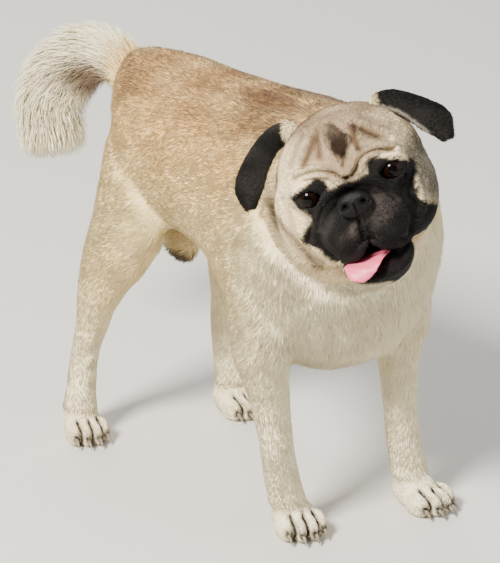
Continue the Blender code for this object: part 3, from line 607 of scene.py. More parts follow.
def body_colours(points, normals):
    """Cream with a golden saddle, dark ticking on the back, white chest, feet and tail."""
    place = points - SHIFT_ARRAY
    x, y, z = place.T
    broad, mid, small = waves(points, 0.060, 1), waves(points, 0.022, 2), waves(points, 0.006, 6)
    up = normals[:, 2]
    colour = np.tile(CREAM, (len(points), 1))
    saddle = smooth_step(0.205, 0.290, z + 0.008 * broad) * smooth_step(-0.050, 0.050, y)
    saddle *= smooth_step(0.266, 0.246, y)
    colour = blend(colour, GOLD, saddle * (0.85 + 0.12 * mid))
    dorsal = smooth_step(0.272, 0.312, z + 0.005 * mid + 0.005 * broad) * smooth_step(-0.060, 0.010, y)
    dorsal *= smooth_step(0.272, 0.235, y)
    colour = blend(colour, TAN, dorsal * (0.52 + 0.25 * mid + 0.12 * small))
    nape = smooth_step(0.130, 0.030, y) * smooth_step(0.280, 0.310, z) * smooth_step(-0.075, -0.030, y)
    colour = blend(colour, BROWN * 1.4, nape * (0.50 + 0.2 * mid + 0.15 * small))
    chest = smooth_step(0.030, -0.040, y) * smooth_step(0.285, 0.210, z)
    colour = blend(colour, WHITE, chest * 0.9)
    colour = blend(colour, WHITE, smooth_step(0.160, 0.060, z) * 0.8)
    # Painted shade: the surfaces of the belly and chest that face down are greyed.
    colour = blend(colour, GREY * 1.3, smooth_step(-0.5, -0.95, up) * smooth_step(0.11, 0.14, z) * 0.35)
    sheath = np.linalg.norm((place - np.array(SHEATH[0])) / (np.array(SHEATH[1]) * 1.25), axis=1)
    tip_of_sheath = smooth_step(1.15, 0.85, sheath) * smooth_step(0.165, 0.158, z)
    colour = blend(colour, BROWN * 0.45, tip_of_sheath * 0.95)
    # Painted shade deep in the gaps between the toes, and the dark skin round the root of each claw.
    gap, bed = toe_gaps(points)
    colour = blend(colour, BROWN * 0.1, np.maximum(smooth_step(0, 0.75, gap), smooth_step(0, 0.7, bed)))

    tail = np.flatnonzero(y > 0.25)
    t = TAIL.nearest(points[tail])
    on_tail = smooth_step(0.256, 0.274, y[tail]) * smooth_step(0.18, 0.20, z[tail])
    colour[tail] = blend(colour[tail], WHITE, on_tail * 0.92)
    # Underside of the tail's root: darker hair there, deepened by painted shade under the root.
    under = on_tail * smooth_step(0.60, 0.30, t) * smooth_step(0.25, -0.60, up[tail])
    colour[tail] = blend(colour[tail], BROWN, under * 0.9)
    tip = blend(colour, BROWN * 0.8, dorsal * 0.62 + nape * 0.35 + saddle * 0.07)
    return colour, tip


def face_colours(points, colour):
    """Cream face, brown-grey forehead with its diamond, black mask, and shaded creases."""
    local = head_places(points)
    places = drawn(local)
    share = head_share(points)
    mid, small = waves(points, 0.022, 2), waves(points, 0.007, 3)
    ragged = (0.3 * waves(points, 0.0035, 4) + 0.5 * waves(points, 0.008, 5))[:, None]
    front = share * smooth_step(0.020, 0.004, local[:, 1])
    colour = blend(colour, FACE, share)
    back = smooth_step(0.004, 0.030, local[:, 1]) * smooth_step(5, 28, places[:, 1])
    top = share * np.maximum(smooth_step(38, 48, places[:, 1]), back * 0.8)
    colour = blend(colour, BROWN * 1.6, top * (0.72 + 0.15 * mid))
    brow = spot(places, (3.0, 31.0), (31.0, 23.0), 0, 0.50) * front
    colour = blend(colour, BROW, brow * (0.84 + 0.16 * mid))
    between = spot(places, (-1.0, 12.0), (12.0, 12.0), 0, 0.5) * front
    colour = blend(colour, BROW, between * 0.80)
    for line in SMUDGES:
        colour = blend(colour, BROWN * 0.8, line_shade(places, line, 2.8) * 0.78 * front)
    diamond = smooth_step(-0.9, 1.3, outline_depth(places + ragged, DIAMOND)) * front
    colour = blend(colour, BROWN * 0.22, diamond * mix(1.0, 0.75, smooth_step(30, 45, places[:, 1])))
    # Painted shade along every crease of the face.
    for line, width, _ in CREASES:
        colour = blend(colour, BROWN * 0.7, line_shade(places, line, 0.75 * width) * 0.60 * front)
    # Painted shade on the dog's left cheek, the side turned from the key light.
    colour = blend(colour, GREY * 0.6, spot(places, (51.0, -8.0), (12.0, 26.0), 8, 0.5) * share * 0.85)
    far_cheek_shade = smooth_step(46, 56, places[:, 0]) * smooth_step(24, 8, places[:, 1])
    colour = blend(colour, GREY, far_cheek_shade * share * 0.6)
    colour = blend(colour, GREY * 1.5, spot(places, (-4.0, -76.0), (24.0, 8.0), -14, 0.4) * share * 0.7)
    black = smooth_step(-1.3, 1.3, outline_depth(places + ragged, MASK_OUTLINE)) * front
    colour = blend(colour, MASK, black)
    # Painted shade along the fold between the cheek and the neck.
    colour = blend(colour, BROWN * 0.8, line_shade(places, CHEEK_FOLD_SHADE, 2.2) * share * (1 - black) * 0.75)
    grizzle = spot(places, (0.0, -22.0), (30.0, 14.0), 0, 0.5) * black
    return blend(colour, MASK_GREY, grizzle * np.clip(0.25 + 0.55 * small + 0.30 * mid, 0, 1))


def coat_colours(points, normals):
    """The coat's colour at the root of each hair and at its tip."""
    colour, tip = body_colours(points, normals)
    near = np.flatnonzero(head_share(points) > 0)
    colour[near] = face_colours(points[near], colour[near])
    tip[near] = mix(tip[near], colour[near], head_share(points[near])[:, None])
    return np.clip(colour, 0, 1), np.clip(tip, 0, 1)


def ear_colours(points):
    """Black velvet with a pale tuft at the root of each ear, and how pale each point is."""
    local = head_places(points)
    places = drawn(local)
    pale = np.maximum(spot(places, (-24.5, 50.5), (5.6, 6.0), -30, 0.4),
                      spot(places, (29.5, 51.5), (5.6, 6.5), 25, 0.4))
    colour = np.tile(linear("#100E0D"), (len(points), 1))
    colour = blend(colour, linear("#282422"), 0.4 + 0.5 * waves(points, 0.012, 8))
    # Painted highlight: a grey line along the rim of each ear.
    for rim in EAR_RIM_HIGHLIGHTS:
        colour = blend(colour, GREY * 1.3, line_shade(places, rim, 1.1) * 0.75)
    return blend(colour, FACE, pale), pale


# Tufts of hair

def mesh_from_arrays(name, points, faces, colours, uvs):
    """A mesh of triangles with a colour and a place on the OFBake map at each point."""
    mesh = bpy.data.meshes.new(name)
    mesh.vertices.add(len(points))
    mesh.vertices.foreach_set("co", points.ravel())
    mesh.loops.add(faces.size)
    mesh.loops.foreach_set("vertex_index", faces.ravel())
    mesh.polygons.add(len(faces))
    mesh.polygons.foreach_set("loop_start", np.arange(0, faces.size, 3))
    mesh.update(calc_edges=True)
    made = bpy.data.objects.new(name, mesh)
    bpy.context.scene.collection.objects.link(made)
    tint(made, colours)
    layer = mesh.uv_layers.new(name="OFBake")
    layer.data.foreach_set("uv", uvs[faces.ravel()].ravel())
    return made


def tint(piece, colours):
    attribute = piece.data.color_attributes.new("coat", "FLOAT_COLOR", "POINT")
    attribute.data.foreach_set("color", np.hstack([colours, np.ones((len(colours), 1))]).ravel())


def spikes(name, roots, normals, ahead, length, width, rise, root_tint, tip_tint, uv):
    """Short tufts: closed three-sided blades, each from a root sunk in the skin to one tip."""
    across = np.cross(normals, ahead) * (width / 2)[:, None]
    reach = ahead * (length * np.cos(rise))[:, None] + normals * (length * np.sin(rise))[:, None]
    points = np.stack([roots - across - normals * 0.0003,
                       roots + across - normals * 0.0003,
                       roots + normals * (width * 0.35)[:, None] - ahead * (width * 0.2)[:, None],
                       roots + reach], axis=1)
    shape = np.array([(0, 3, 1), (1, 3, 2), (2, 3, 0), (0, 1, 2)])
    faces = (np.arange(len(roots))[:, None, None] * 4 + shape).reshape(-1, 3)
    # The base of each tuft is a little darker than its root colour: painted shade among the hairs.
    tints = np.stack([root_tint * 0.90, root_tint * 0.90, root_tint * 0.96, tip_tint], axis=1)
    spread = np.array([(-0.5, -0.5), (0.5, -0.5), (0.0, 0.0), (0.0, 0.5)]) * PATCH
    uvs = uv[:, None, :] + spread
    return mesh_from_arrays(name, points.reshape(-1, 3), faces, tints.reshape(-1, 3), uvs.reshape(-1, 2))


# How wide a long tuft is at each ring before its tip
LOCK_SPANS = (0.8, 1.0, 0.85, 0.55)


def locks(name, rings, across, outward, width, root_tint, tip_tint, uv):
    """Long tufts: bent three-sided locks through ring centres, of shape (rings, count, 3)."""
    columns, tints, patches, shape = [], [], [], [(0, 1, 2)]
    last = len(rings) - 1
    for k in range(last):
        half = (width * LOCK_SPANS[k] / 2)[:, None]
        sideways = across[k] * half
        columns += [rings[k] - sideways, rings[k] + sideways, rings[k] + outward[k] * half * 0.5]
        share = k / last
        # Rings near the root are darker: painted shade inside the lock.
        tints += [mix(root_tint, tip_tint, share) * (0.86 + 0.14 * min(share * 2, 1))] * 3
        patches += [(x * PATCH, (share - 0.5) * PATCH) for x in (-0.5, 0.5, 0.0)]
        low, high = 3 * k, 3 * (k + 1)
        for a, b in ((0, 1), (1, 2), (2, 0)):
            if k < last - 1:
                shape += [(low + b, low + a, high + a), (low + b, high + a, high + b)]
            else:
                shape += [(low + b, low + a, high)]
    columns.append(rings[last])
    tints.append(tip_tint)
    patches.append((0.0, 0.5 * PATCH))
    each, count = len(columns), rings.shape[1]
    faces = (np.arange(count)[:, None, None] * each + np.array(shape)).reshape(-1, 3)
    points = np.stack(columns, axis=1).reshape(-1, 3)
    uvs = (uv[:, None, :] + np.array(patches)).reshape(-1, 2)
    return mesh_from_arrays(name, points, faces, np.stack(tints, axis=1).reshape(-1, 3), uvs)


class Surface:
    """A piece's triangles as arrays, for drawing roots on it."""

    def __init__(self, piece, region=None):
        mesh = piece.data
        mesh.calc_loop_triangles()
        corners = np.empty(len(mesh.loop_triangles) * 3, np.int32)
        mesh.loop_triangles.foreach_get("vertices", corners)
        self.corners = corners.reshape(-1, 3)
        self.points = points_of(mesh)
        self.normals = normals_of(mesh)
        a, b, c = (self.points[self.corners[:, k]] for k in range(3))
        cross = np.cross(b - a, c - a)
        self.areas = np.linalg.norm(cross, axis=1) / 2
        self.centres = (a + b + c) / 3
        self.region = regions_of(self.centres) if region is None else np.full(len(a), region)
        self.ways = ways_of(unit(cross), self.region)

    def roots(self, chosen, count, draw):
        """Random roots spread evenly over the chosen triangles: places, normals and places on the map."""
        total = np.cumsum(self.areas * chosen)
        face = np.searchsorted(total, draw.uniform(0, total[-1], count))
        first, second = draw.uniform(size=(2, count))
        over = first + second > 1
        first[over], second[over] = 1 - first[over], 1 - second[over]
        shares = np.stack([1 - first - second, first, second], axis=1)[:, :, None]
        points = (self.points[self.corners[face]] * shares).sum(axis=1)
        normals = unit((self.normals[self.corners[face]] * shares).sum(axis=1))
        return points, normals, on_map(points, self.region[face], self.ways[face])


def lie_of_coat(points):
    """Which way the hair lies: back along the body, down the legs, and away from the nose on the head."""
    place = points - SHIFT_ARRAY
    x, y, z = place.T
    lie = np.stack([0.15 * np.sign(x), np.full(len(x), 0.8), np.full(len(x), -0.55)], axis=1)
    lie[:, 2] += smooth_step(0.27, 0.31, z) * 0.45
    leg = smooth_step(0.17, 0.10, z)[:, None]
    lie = mix(lie, np.array((0.0, 0.12, -1.0)), leg)
    lie = mix(lie, np.array((0.0, 0.05, -1.0)), smooth_step(0.0, -0.045, y)[:, None] * (1 - leg))
    lie = mix(lie, np.array((0.0, -1.0, -0.45)), smooth_step(0.032, 0.020, z)[:, None])
    away = unit(head_places(points) - np.array((0.0, -0.075, -0.012)))
    away[:, 1] += 0.35
    lie = mix(lie, away @ HEAD_TURN.T, head_share(points)[:, None])
    tail = np.flatnonzero(y > 0.25)
    on_tail = smooth_step(0.262, 0.280, y[tail])[:, None]
    lie[tail] = mix(lie[tail], TAIL.at(TAIL.nearest(points[tail]), TAIL.ahead), on_tail)
    return lie


def bare(points):
    """Where no hair grows: the eyes, the mouth's inside, under the nose and deep between the toes."""
    local = head_places(points)
    found = toe_gaps(points)[0] > 0.45
    for side, _ in SIDES:
        away = local - np.array((side * EYE_PLACE[0], EYE_PLACE[1], EYE_PLACE[2]))
        found |= np.linalg.norm(away, axis=1) < EYE_RADIUS + 0.0011
    mouth = (local - np.array(MOUTH_PLACE)) / np.array((0.0195, 0.0300, 0.0095))
    found |= np.abs(mouth).max(axis=1) < 1
    nose = (local - np.array(NOSE_PLACE)) / (np.array(NOSE_RADII) + 0.0006)
    return found | (np.linalg.norm(nose, axis=1) < 1)


def coat_sizes(points):
    """Length, width and rise of the tufts at each point."""
    place = points - SHIFT_ARRAY
    x, y, z = place.T
    head = head_share(points)
    face = head * smooth_step(0.022, -0.008, head_places(points)[:, 1])
    leg = smooth_step(0.165, 0.105, z)
    paw = smooth_step(0.034, 0.024, z)
    length = 0.0095 + 0.0030 * smooth_step(0.01, -0.04, y) * (1 - leg)
    length += 0.0050 * smooth_step(0.215, 0.245, y) * smooth_step(0.12, 0.18, z)
    length = mix(mix(length, 0.0070, leg), 0.0034, paw)
    length = mix(mix(length, 0.0065, head), 0.0028, face)
    width = mix(mix(np.full(len(points), 0.00064), 0.00052, leg), 0.00052, paw)
    width = mix(mix(width, 0.00062, head), 0.00044, face)
    rise = mix(mix(np.full(len(points), 7.5), 4.6, leg), 6.0, np.maximum(paw, face))
    rise += 5.0 * smooth_step(0.0, -0.05, y) * (1 - leg) * (1 - head)
    return length, width, np.radians(rise)


def grow(name, surface, chosen, count, seed):
    """One coat piece of short tufts over part of the skin."""
    draw = np.random.default_rng(seed)
    roots, normals, uv = surface.roots(chosen, count, draw)
    keep = ~bare(roots)
    roots, normals, uv = roots[keep], normals[keep], uv[keep]
    count = len(roots)
    length, width, rise = coat_sizes(roots)
    ahead = lie_of_coat(roots)
    ahead = unit(ahead - normals * (ahead * normals).sum(axis=1)[:, None])
    swing = 0.20 * waves(roots, 0.014, 11) + 0.13 * draw.normal(size=count) + 0.12 * waves(roots, 0.045, 12)
    turned = ahead * np.cos(swing)[:, None] + np.cross(normals, ahead) * np.sin(swing)[:, None]
    rise *= np.clip(1 + 0.12 * waves(roots, 0.010, 13) + 0.16 * draw.normal(size=count), 0.4, 1.7)
    root_tint, tip_tint = coat_colours(roots + 0.0007 * draw.normal(size=(count, 3)), normals)
    shade = np.clip(1 + 0.09 * draw.normal(size=count) + 0.05 * waves(roots, 0.009, 14), 0.6, 1.35)[:, None]
    dark_tip = (draw.uniform(size=count) < 0.55)[:, None]
    # Every tip is made 2% lighter: a painted highlight.
    tip_tint = np.where(dark_tip, tip_tint, root_tint) * 1.02
    return spikes(name, roots, normals, turned, length * draw.uniform(0.70, 1.20, count),
                  width * draw.uniform(0.75, 1.25, count), rise,
                  np.clip(root_tint * shade, 0, 1), np.clip(tip_tint * shade, 0, 1), uv)


def tail_hair(name, count, seed, length, width, reach):
    """Long hair of the tail that leaves its core and bends out to the outline of the brush."""
    draw = np.random.default_rng(seed)
    length = length * draw.uniform(0.7, 1.15, count)
    start = draw.uniform(0.02, 1.0, count) * (1.11 - length / TAIL.length)
    length *= mix(0.45, 1.0, smooth_step(0.08, 0.35, start))
    turn = draw.uniform(0, 2 * math.pi, count)
    out = reach * draw.uniform(0.55, 1.08, count)
    bend = draw.normal(size=count) * 0.14
    rings, acrosses, outwards = [], [], []
    for s in (0.0, 0.25, 0.5, 0.75, 1.0):
        t = start + s * length / TAIL.length
        along = TAIL.at(np.minimum(t, 1), TAIL.ahead)
        side = unit(np.array((1.0, 0, 0)) - along * along[:, :1])
        other = np.cross(along, side)
        here = turn + bend * s
        outward = side * (0.94 * np.cos(here))[:, None] + other * np.sin(here)[:, None]
        rounding = np.sqrt(np.clip(1 - (np.maximum(t - 1, 0) / 0.14) ** 2, 0.1, 1))
        half = TAIL.at(np.minimum(t, 1), TAIL.halves) * rounding
        core = TAIL.core(np.minimum(start, 1)) * 0.96
        level = core + (half * out - core) * math.sin(s * math.pi / 2) ** 0.8
        rings.append(TAIL.centre(t) + outward * level[:, None])
        outwards.append(outward)
        acrosses.append(np.cross(outward, along))
    root_tint, tip_tint = coat_colours(rings[0], unit(outwards[0]))
    shade = np.clip(1 + 0.08 * draw.normal(size=count), 0.7, 1.3)[:, None]
    region = np.full(count, TAIL_REGION)
    uv = on_map(rings[0], region, ways_of(unit(outwards[0]), region))
    # Tips are made 4% lighter: a painted highlight.
    return locks(name, np.array(rings), acrosses, outwards, width * draw.uniform(0.7, 1.3, count),
                 np.clip(root_tint * shade, 0, 1), np.clip(tip_tint * shade * 1.04, 0, 1), uv)


# Materials

def node(tree, kind, links=(), **settings):
    """Adds a shader node, sets what is named, and links its inputs from other nodes' outputs."""
    made = tree.nodes.new(kind)
    for key, value in settings.items():
        if key in made.bl_rna.properties:
            setattr(made, key, value)
        else:
            made.inputs[key.replace("_", " ")].default_value = value
    for name, source in links:
        tree.links.new(source, made.inputs[name])
    return made


def new_material(name, **constants):
    """A Principled material whose constants are set on the shader's own sockets."""
    material = bpy.data.materials.new(name)
    material.use_nodes = True
    tree = material.node_tree
    shader = tree.nodes["Principled BSDF"]
    shader.inputs["Metallic"].default_value = 0.0
    for key, value in constants.items():
        shader.inputs[key.replace("_", " ")].default_value = value
    return material, tree, shader


def colour_ramp(tree, factor, low, high):
    """Two hex colours mixed by a factor."""
    ramp = node(tree, "ShaderNodeMix", data_type="RGBA")
    tree.links.new(factor, ramp.inputs["Factor"])
    first_colour, second_colour, mixed = ramp.inputs[6], ramp.inputs[7], ramp.outputs[2]
    first_colour.default_value = (*linear(low), 1)
    second_colour.default_value = (*linear(high), 1)
    return mixed


def pattern(tree, kind, **settings):
    """A texture laid in the piece's own coordinates."""
    place = node(tree, "ShaderNodeTexCoord")
    return node(tree, kind, [("Vector", place.outputs["Object"])], **settings)


def paint(tree, shader, colour):
    tree.links.new(colour, shader.inputs["Base Color"])


def add_bump(tree, shader, height, strength, distance, invert=False):
    bump = node(tree, "ShaderNodeBump", [("Height", height)], Strength=strength, Distance=distance)
    bump.invert = invert
    tree.links.new(bump.outputs["Normal"], shader.inputs["Normal"])


def coat_material():
    """Dry dog hair: keratin scales scatter light softly, so it is rough with a faint sheen."""
    material, tree, shader = new_material("dog hair", Roughness=0.60, IOR=1.55, Specular_IOR_Level=0.16,
                                          Sheen_Weight=0.03, Sheen_Roughness=0.4)
    colour = node(tree, "ShaderNodeAttribute", attribute_name="coat")
    paint(tree, shader, colour.outputs["Color"])
    return material


def skin_material():
    """Undercoat: short hair that lies flat, seen as fine streaks along the body, 1 mm by 8 mm."""
    material, tree, shader = new_material("undercoat", Roughness=0.8, Specular_IOR_Level=0.15)
    colour = node(tree, "ShaderNodeAttribute", attribute_name="coat")
    along = pattern(tree, "ShaderNodeMapping", Rotation=(math.radians(34), 0, 0), Scale=(1000, 130, 1000))
    streaks = node(tree, "ShaderNodeTexNoise", [("Vector", along.outputs["Vector"])], Scale=1.0, Detail=2.0)
    paint(tree, shader, colour.outputs["Color"])
    add_bump(tree, shader, streaks.outputs["Fac"], 0.45, 0.0005)
    return material


def eye_material():
    """Wet eye: a clear cornea, smooth as glass, over a dark brown iris and a black pupil."""
    material, tree, shader = new_material("wet eye", Roughness=0.12, IOR=1.34, Specular_IOR_Level=0.12,
                                          Coat_Weight=0.12, Coat_Roughness=0.02)
    colour = node(tree, "ShaderNodeAttribute", attribute_name="coat")
    paint(tree, shader, colour.outputs["Color"])
    return material


def nose_material():
    """Moist nose leather: black skin in rounded grains of about 0.9 mm."""
    material, tree, shader = new_material("nose leather", Roughness=0.52, IOR=1.45, Specular_IOR_Level=0.16)
    grains = pattern(tree, "ShaderNodeTexVoronoi", Scale=1100.0)
    paint(tree, shader, colour_ramp(tree, grains.outputs["Distance"], "#141212", "#040303"))
    add_bump(tree, shader, grains.outputs["Distance"], 0.5, 0.0004, True)
    return material


def tongue_material():
    """Wet tongue: pink flesh with fine papillae of about 0.7 mm under a film of saliva."""
    material, tree, shader = new_material("wet tongue", Roughness=0.36, IOR=1.4, Subsurface_Weight=0.2,
                                          Subsurface_Scale=0.004)
    patches = pattern(tree, "ShaderNodeTexNoise", Scale=180.0, Detail=3.0)
    buds = pattern(tree, "ShaderNodeTexVoronoi", Scale=1400.0)
    paint(tree, shader, colour_ramp(tree, patches.outputs["Fac"], "#D8526F", "#F0788F"))
    add_bump(tree, shader, buds.outputs["Distance"], 0.3, 0.0003)
    return material


def claw_material():
    """Claw horn: smooth keratin, pale with darker growth patches."""
    material, tree, shader = new_material("claw horn", Roughness=0.38, IOR=1.55, Subsurface_Weight=0.1,
                                          Subsurface_Scale=0.002)
    patches = pattern(tree, "ShaderNodeTexNoise", Scale=320.0, Detail=3.0)
    paint(tree, shader, colour_ramp(tree, patches.outputs["Fac"], "#2A221C", "#A8977E"))
    return material


def collar_material():
    """Woven nylon webbing: dark green-grey threads at a pitch of about 1.2 mm."""
    material, tree, shader = new_material("nylon webbing", Roughness=0.7, IOR=1.53, Sheen_Weight=0.3,
                                          Sheen_Roughness=0.5)
    weave = pattern(tree, "ShaderNodeTexWave", Scale=260.0, Distortion=1.0)
    paint(tree, shader, colour_ramp(tree, weave.outputs["Fac"], "#1C2123", "#3F4B49"))
    add_bump(tree, shader, weave.outputs["Fac"], 0.6, 0.0004)
    return material


def paper_material():
    """Studio paper: matt, even and pale."""
    material, tree, shader = new_material("studio paper", Roughness=0.9)
    shader.inputs["Base Color"].default_value = (*linear("#DAD7D1"), 1)
    return material


# Pieces

def dress(piece, material, slot, *nodes):
    piece.data.materials.clear()
    piece.data.materials.append(material)
    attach(piece, "root")
    if nodes:
        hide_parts(*nodes)


def refined(name, nodes, voxel, rounds):
    """A smooth fine copy of small nodes as one piece."""
    bm = bmesh.new()
    for each in nodes:
        add_copy(bm, each)
    piece = as_object(name, bm)
    remesh(piece, voxel, rounds)
    piece.data.shade_smooth()
    return piece


def make_eye(name, side, material):
    """An eyeball with a raised cornea. Its colours run out in rings from the pupil."""
    gaze = Vector((0.10 * side, -1.0, 0.06)).normalized()
    place = HEAD @ Matrix.Translation((side * EYE_PLACE[0], EYE_PLACE[1], EYE_PLACE[2]))
    place = place @ gaze.to_track_quat("Z", "Y").to_matrix().to_4x4()
    bm = bmesh.new()
    bmesh.ops.create_uvsphere(bm, u_segments=48, v_segments=48, radius=EYE_RADIUS)
    angles = []
    for vertex in bm.verts:
        angle = math.degrees(vertex.co.angle(Vector((0, 0, 1))))
        angles.append(angle)
        bulge = 0.0007 * max(0.0, math.cos(math.radians(min(angle / 38 * 90, 90))))
        vertex.co += vertex.co.normalized() * bulge
    bmesh.ops.transform(bm, matrix=place, verts=bm.verts)
    eye = as_object(name, bm)
    angles = np.array(angles)
    rings = ((15, 18, "#140904"), (30, 36, "#040202"), (44, 50, "#1E1412"))
    colours = np.tile(linear("#020101"), (len(angles), 1))
    for start, end, code in rings:
        colours = blend(colours, linear(code), smooth_step(start, end, angles))
    tint(eye, colours)
    eye.data.shade_smooth()
    dress(eye, material, "eye", name)


def make_nose(material):
    """The nose pad: a rounded block with two comma nostrils and a groove down to the lip."""
    bm = bmesh.new()
    bmesh.ops.create_uvsphere(bm, u_segments=110, v_segments=90, radius=1.0,
                              matrix=Matrix.Rotation(math.pi / 2, 4, "X"))
    for vertex in bm.verts:
        x, y, z = vertex.co
        square = 1 / max(abs(x) ** 2.6 + abs(z) ** 2.6, 1e-6) ** (1 / 2.6)
        grow = 1 + 0.5 * (min(square, 1.12) - 1) * math.hypot(x, z)
        vertex.co = Vector((x * NOSE_RADII[0] * grow, y * NOSE_RADII[1], z * NOSE_RADII[2] * grow))
    nose = as_object("nose_leather", bm)
    points = points_of(nose.data)
    flat = np.stack([np.abs(points[:, 0]), points[:, 2]], axis=1) * 1000
    front = smooth_step(0.0, -0.003, points[:, 1])
    hole = np.exp(-(((flat[:, 0] - 6.0) / 2.2) ** 2 + ((flat[:, 1] - 0.6) / 1.9) ** 2))
    slit = line_shade(flat, ((6.2, 0.2), (8.4, -1.6), (10.4, -1.2), (11.5, 0.8)), 0.8)
    groove = line_shade(flat, ((0.0, 1.0), (0.0, -4.0), (0.0, -9.0)), 0.65)
    swell = np.exp(-(((flat[:, 0] - 6.5) / 3.0) ** 2 + ((flat[:, 1] - 4.4) / 1.6) ** 2))
    pressed = 0.001 * (3.6 * hole + 1.5 * slit + 1.2 * groove - 0.6 * swell) * front
    points[:, 1] += pressed
    place = HEAD @ Matrix.Translation(NOSE_PLACE)
    nose.data.vertices.foreach_set("co", points.ravel())
    nose.data.transform(place)
    nose.data.update()
    nose.data.shade_smooth()
    dress(nose, material, "nose_leather", "nose")


def make_ears(material, coat):
    for side, word in SIDES:
        region = FIRST_EAR + (side > 0)
        bm = bmesh.new()
        add_copy(bm, f"ear_{word}")
        ear = as_object(f"ear_{word}_leather", bm)
        soften = ear.modifiers.new("soften", "SUBSURF")
        soften.levels = soften.render_levels = 2
        apply_modifiers(ear)
        ear.data.shade_smooth()
        tint(ear, ear_colours(points_of(ear.data))[0])
        unwrap(ear, region)
        dress(ear, material, "ear_velvet", f"ear_{word}")
        surface = Surface(ear, region)
        draw = np.random.default_rng(31 + (side > 0))
        count = 11500
        roots, normals, uv = surface.roots(np.ones(len(surface.areas)), count, draw)
        root_tint, pale = ear_colours(roots)
        lie = np.tile(np.array((0.55 * side, -0.25, -0.75)) @ HEAD_TURN.T, (count, 1))
        ahead = unit(lie - normals * (lie * normals).sum(axis=1)[:, None])
        swing = 0.22 * draw.normal(size=count) + 0.2 * waves(roots, 0.010, 33)
        turned = ahead * np.cos(swing)[:, None] + np.cross(normals, ahead) * np.sin(swing)[:, None]
        length = mix(0.0030, 0.0085, pale) * draw.uniform(0.7, 1.2, count)
        width = mix(0.00055, 0.00085, pale) * draw.uniform(0.8, 1.2, count)
        rise = np.radians(mix(7.0, 20.0, pale)) * draw.uniform(0.6, 1.5, count)
        shade = np.clip(1 + 0.14 * draw.normal(size=count), 0.6, 1.4)[:, None]
        # Velvet tips are 25% lighter than their roots: painted sheen.
        fur = spikes(f"ear_{word}_velvet", roots, normals, turned, length, width, rise,
                     np.clip(root_tint * shade, 0, 1), np.clip(root_tint * shade * 1.25, 0, 1), uv)
        dress(fur, coat, "ear_velvet", f"ear_{word}")


def make_coat(skin, material):
    surface = Surface(skin)
    x, y, z = (surface.centres - SHIFT_ARRAY).T
    local = head_places(surface.centres)
    head = (np.linalg.norm(local, axis=1) < 0.085) & (local[:, 1] < 0.045)
    face = head & (local[:, 1] < 0.004)
    paw = z < 0.030
    leg = (z < 0.125) & ~paw
    tail = (y > 0.270) & (z > 0.15)
    body = ~head & ~paw & ~leg & ~tail
    front = y < 0.085
    regions = (("face_right", face & (local[:, 0] < 0), 27000, "head_coat"),
               ("face_left", face & (local[:, 0] >= 0), 27000, "head_coat"),
               ("head", head & ~face, 15000, "head_coat"), ("paws", paw, 30000, "paw_coat"),
               ("legs", leg, 48000, "coat"), ("front_right", body & front & (x < 0), 41000, "coat"),
               ("front_left", body & front & (x >= 0), 37000, "coat"),
               ("rear_right", body & ~front & (x < 0), 44000, "coat"),
               ("rear_left", body & ~front & (x >= 0), 37000, "coat"))
    for k, (name, chosen, count, slot) in enumerate(regions):
        dress(grow(f"coat_{name}", surface, chosen, count, 100 + k), material, slot)
    for name, count, seed, length, width, reach in (("tail_locks", 3400, 60, 0.034, 0.0019, 1.02),
                                                    ("tail_hair", 8200, 61, 0.030, 0.00075, 1.10)):
        dress(tail_hair(name, count, seed, length, width, reach), material, "tail_coat", "tail_brush")


# The studio

def make_floor():
    bm = bmesh.new()
    bmesh.ops.create_grid(bm, x_segments=1, y_segments=1, size=8.0)
    floor = as_object("floor", bm)
    floor.data.materials.append(paper_material())


def make_light(name, place, size, power, colour):
    data = bpy.data.lights.new(name, "AREA")
    data.size = size
    data.energy = power
    data.color = colour
    lamp = bpy.data.objects.new(name, data)
    lamp.location = place
    lamp.rotation_euler = (Vector((0, 0, 0.15)) - Vector(place)).to_track_quat("-Z", "Y").to_euler()
    bpy.context.scene.collection.objects.link(lamp)


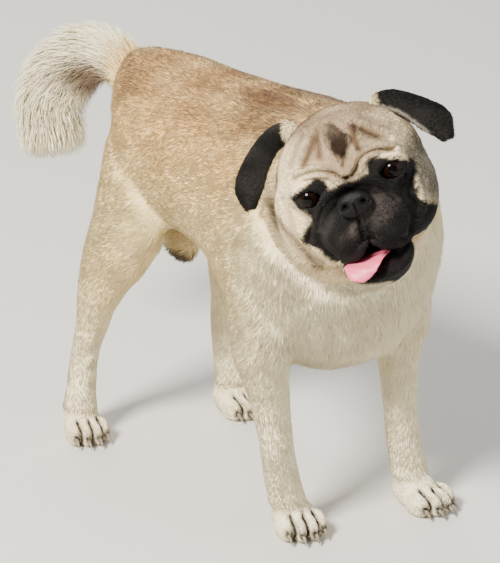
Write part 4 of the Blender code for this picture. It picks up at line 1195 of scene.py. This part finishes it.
def make_camera():
    """The photograph's view: 35 degrees to the dog's right of straight ahead, 20 degrees up, 2 m away."""
    azimuth, elevation, away = math.radians(-35), math.radians(20), 2.0
    aim = Vector((-0.012, 0.080, 0.1635)) + SHIFT
    back = Vector((math.sin(azimuth) * math.cos(elevation), -math.cos(azimuth) * math.cos(elevation),
                   math.sin(elevation)))
    data = bpy.data.cameras.new("camera")
    data.sensor_width = 36.0
    data.lens = 171.7
    data.clip_end = 50
    camera = bpy.data.objects.new("camera", data)
    camera.location = aim + back * away
    camera.rotation_euler = back.to_track_quat("Z", "Y").to_euler()
    bpy.context.scene.collection.objects.link(camera)
    bpy.context.scene.camera = camera


def make_studio():
    make_camera()
    make_floor()
    make_light("key", (-2.4, -0.9, 2.4), 0.8, 330, (1.0, 0.96, 0.88))
    make_light("fill", (1.6, -2.4, 1.4), 2.5, 30, (0.95, 0.97, 1.0))
    make_light("rim", (0.6, 2.4, 2.0), 1.5, 50, (1.0, 0.98, 0.95))
    world = bpy.data.worlds.new("studio")
    world.use_nodes = True
    world.node_tree.nodes["Background"].inputs["Color"].default_value = (*linear("#E2E4E6"), 1)
    world.node_tree.nodes["Background"].inputs["Strength"].default_value = 0.62
    bpy.context.scene.world = world


def skin_tints(points, normals):
    """The skin has the colours of the coat's roots, but for the inside of the mouth: its dark lining, painted
    near black as painted shade of the cavity.
    """
    colours = coat_colours(points, normals)[0]
    mouth = (head_places(points) - np.array(MOUTH_PLACE)) / np.array((0.0205, 0.0280, 0.0110))
    # Painted shade: the mouth's cavity is painted near black over its dark lining.
    colours[np.abs(mouth).max(axis=1) < 1] = MOUTH
    return colours


def main():
    make_studio()
    skin = make_skin()
    tint(skin, skin_tints(points_of(skin.data), normals_of(skin.data)))
    unwrap(skin)
    coat = coat_material()
    under = skin_material()
    dress(skin, under, "coat", *FLESH)
    make_coat(skin, coat)
    make_ears(under, coat)
    eyes = eye_material()
    for side, word in SIDES:
        make_eye(f"eye_{word}", side, eyes)
    make_nose(nose_material())
    dress(refined("tongue_flesh", ["tongue"], 0.0007, 16), tongue_material(), "tongue", "tongue")
    dress(refined("claws_horn", CLAWS, 0.0004, 1), claw_material(), "claw_horn", *CLAWS)
    dress(refined("collar_webbing", ["collar"], 0.0012, 2), collar_material(), "collar_webbing", "collar")


main()
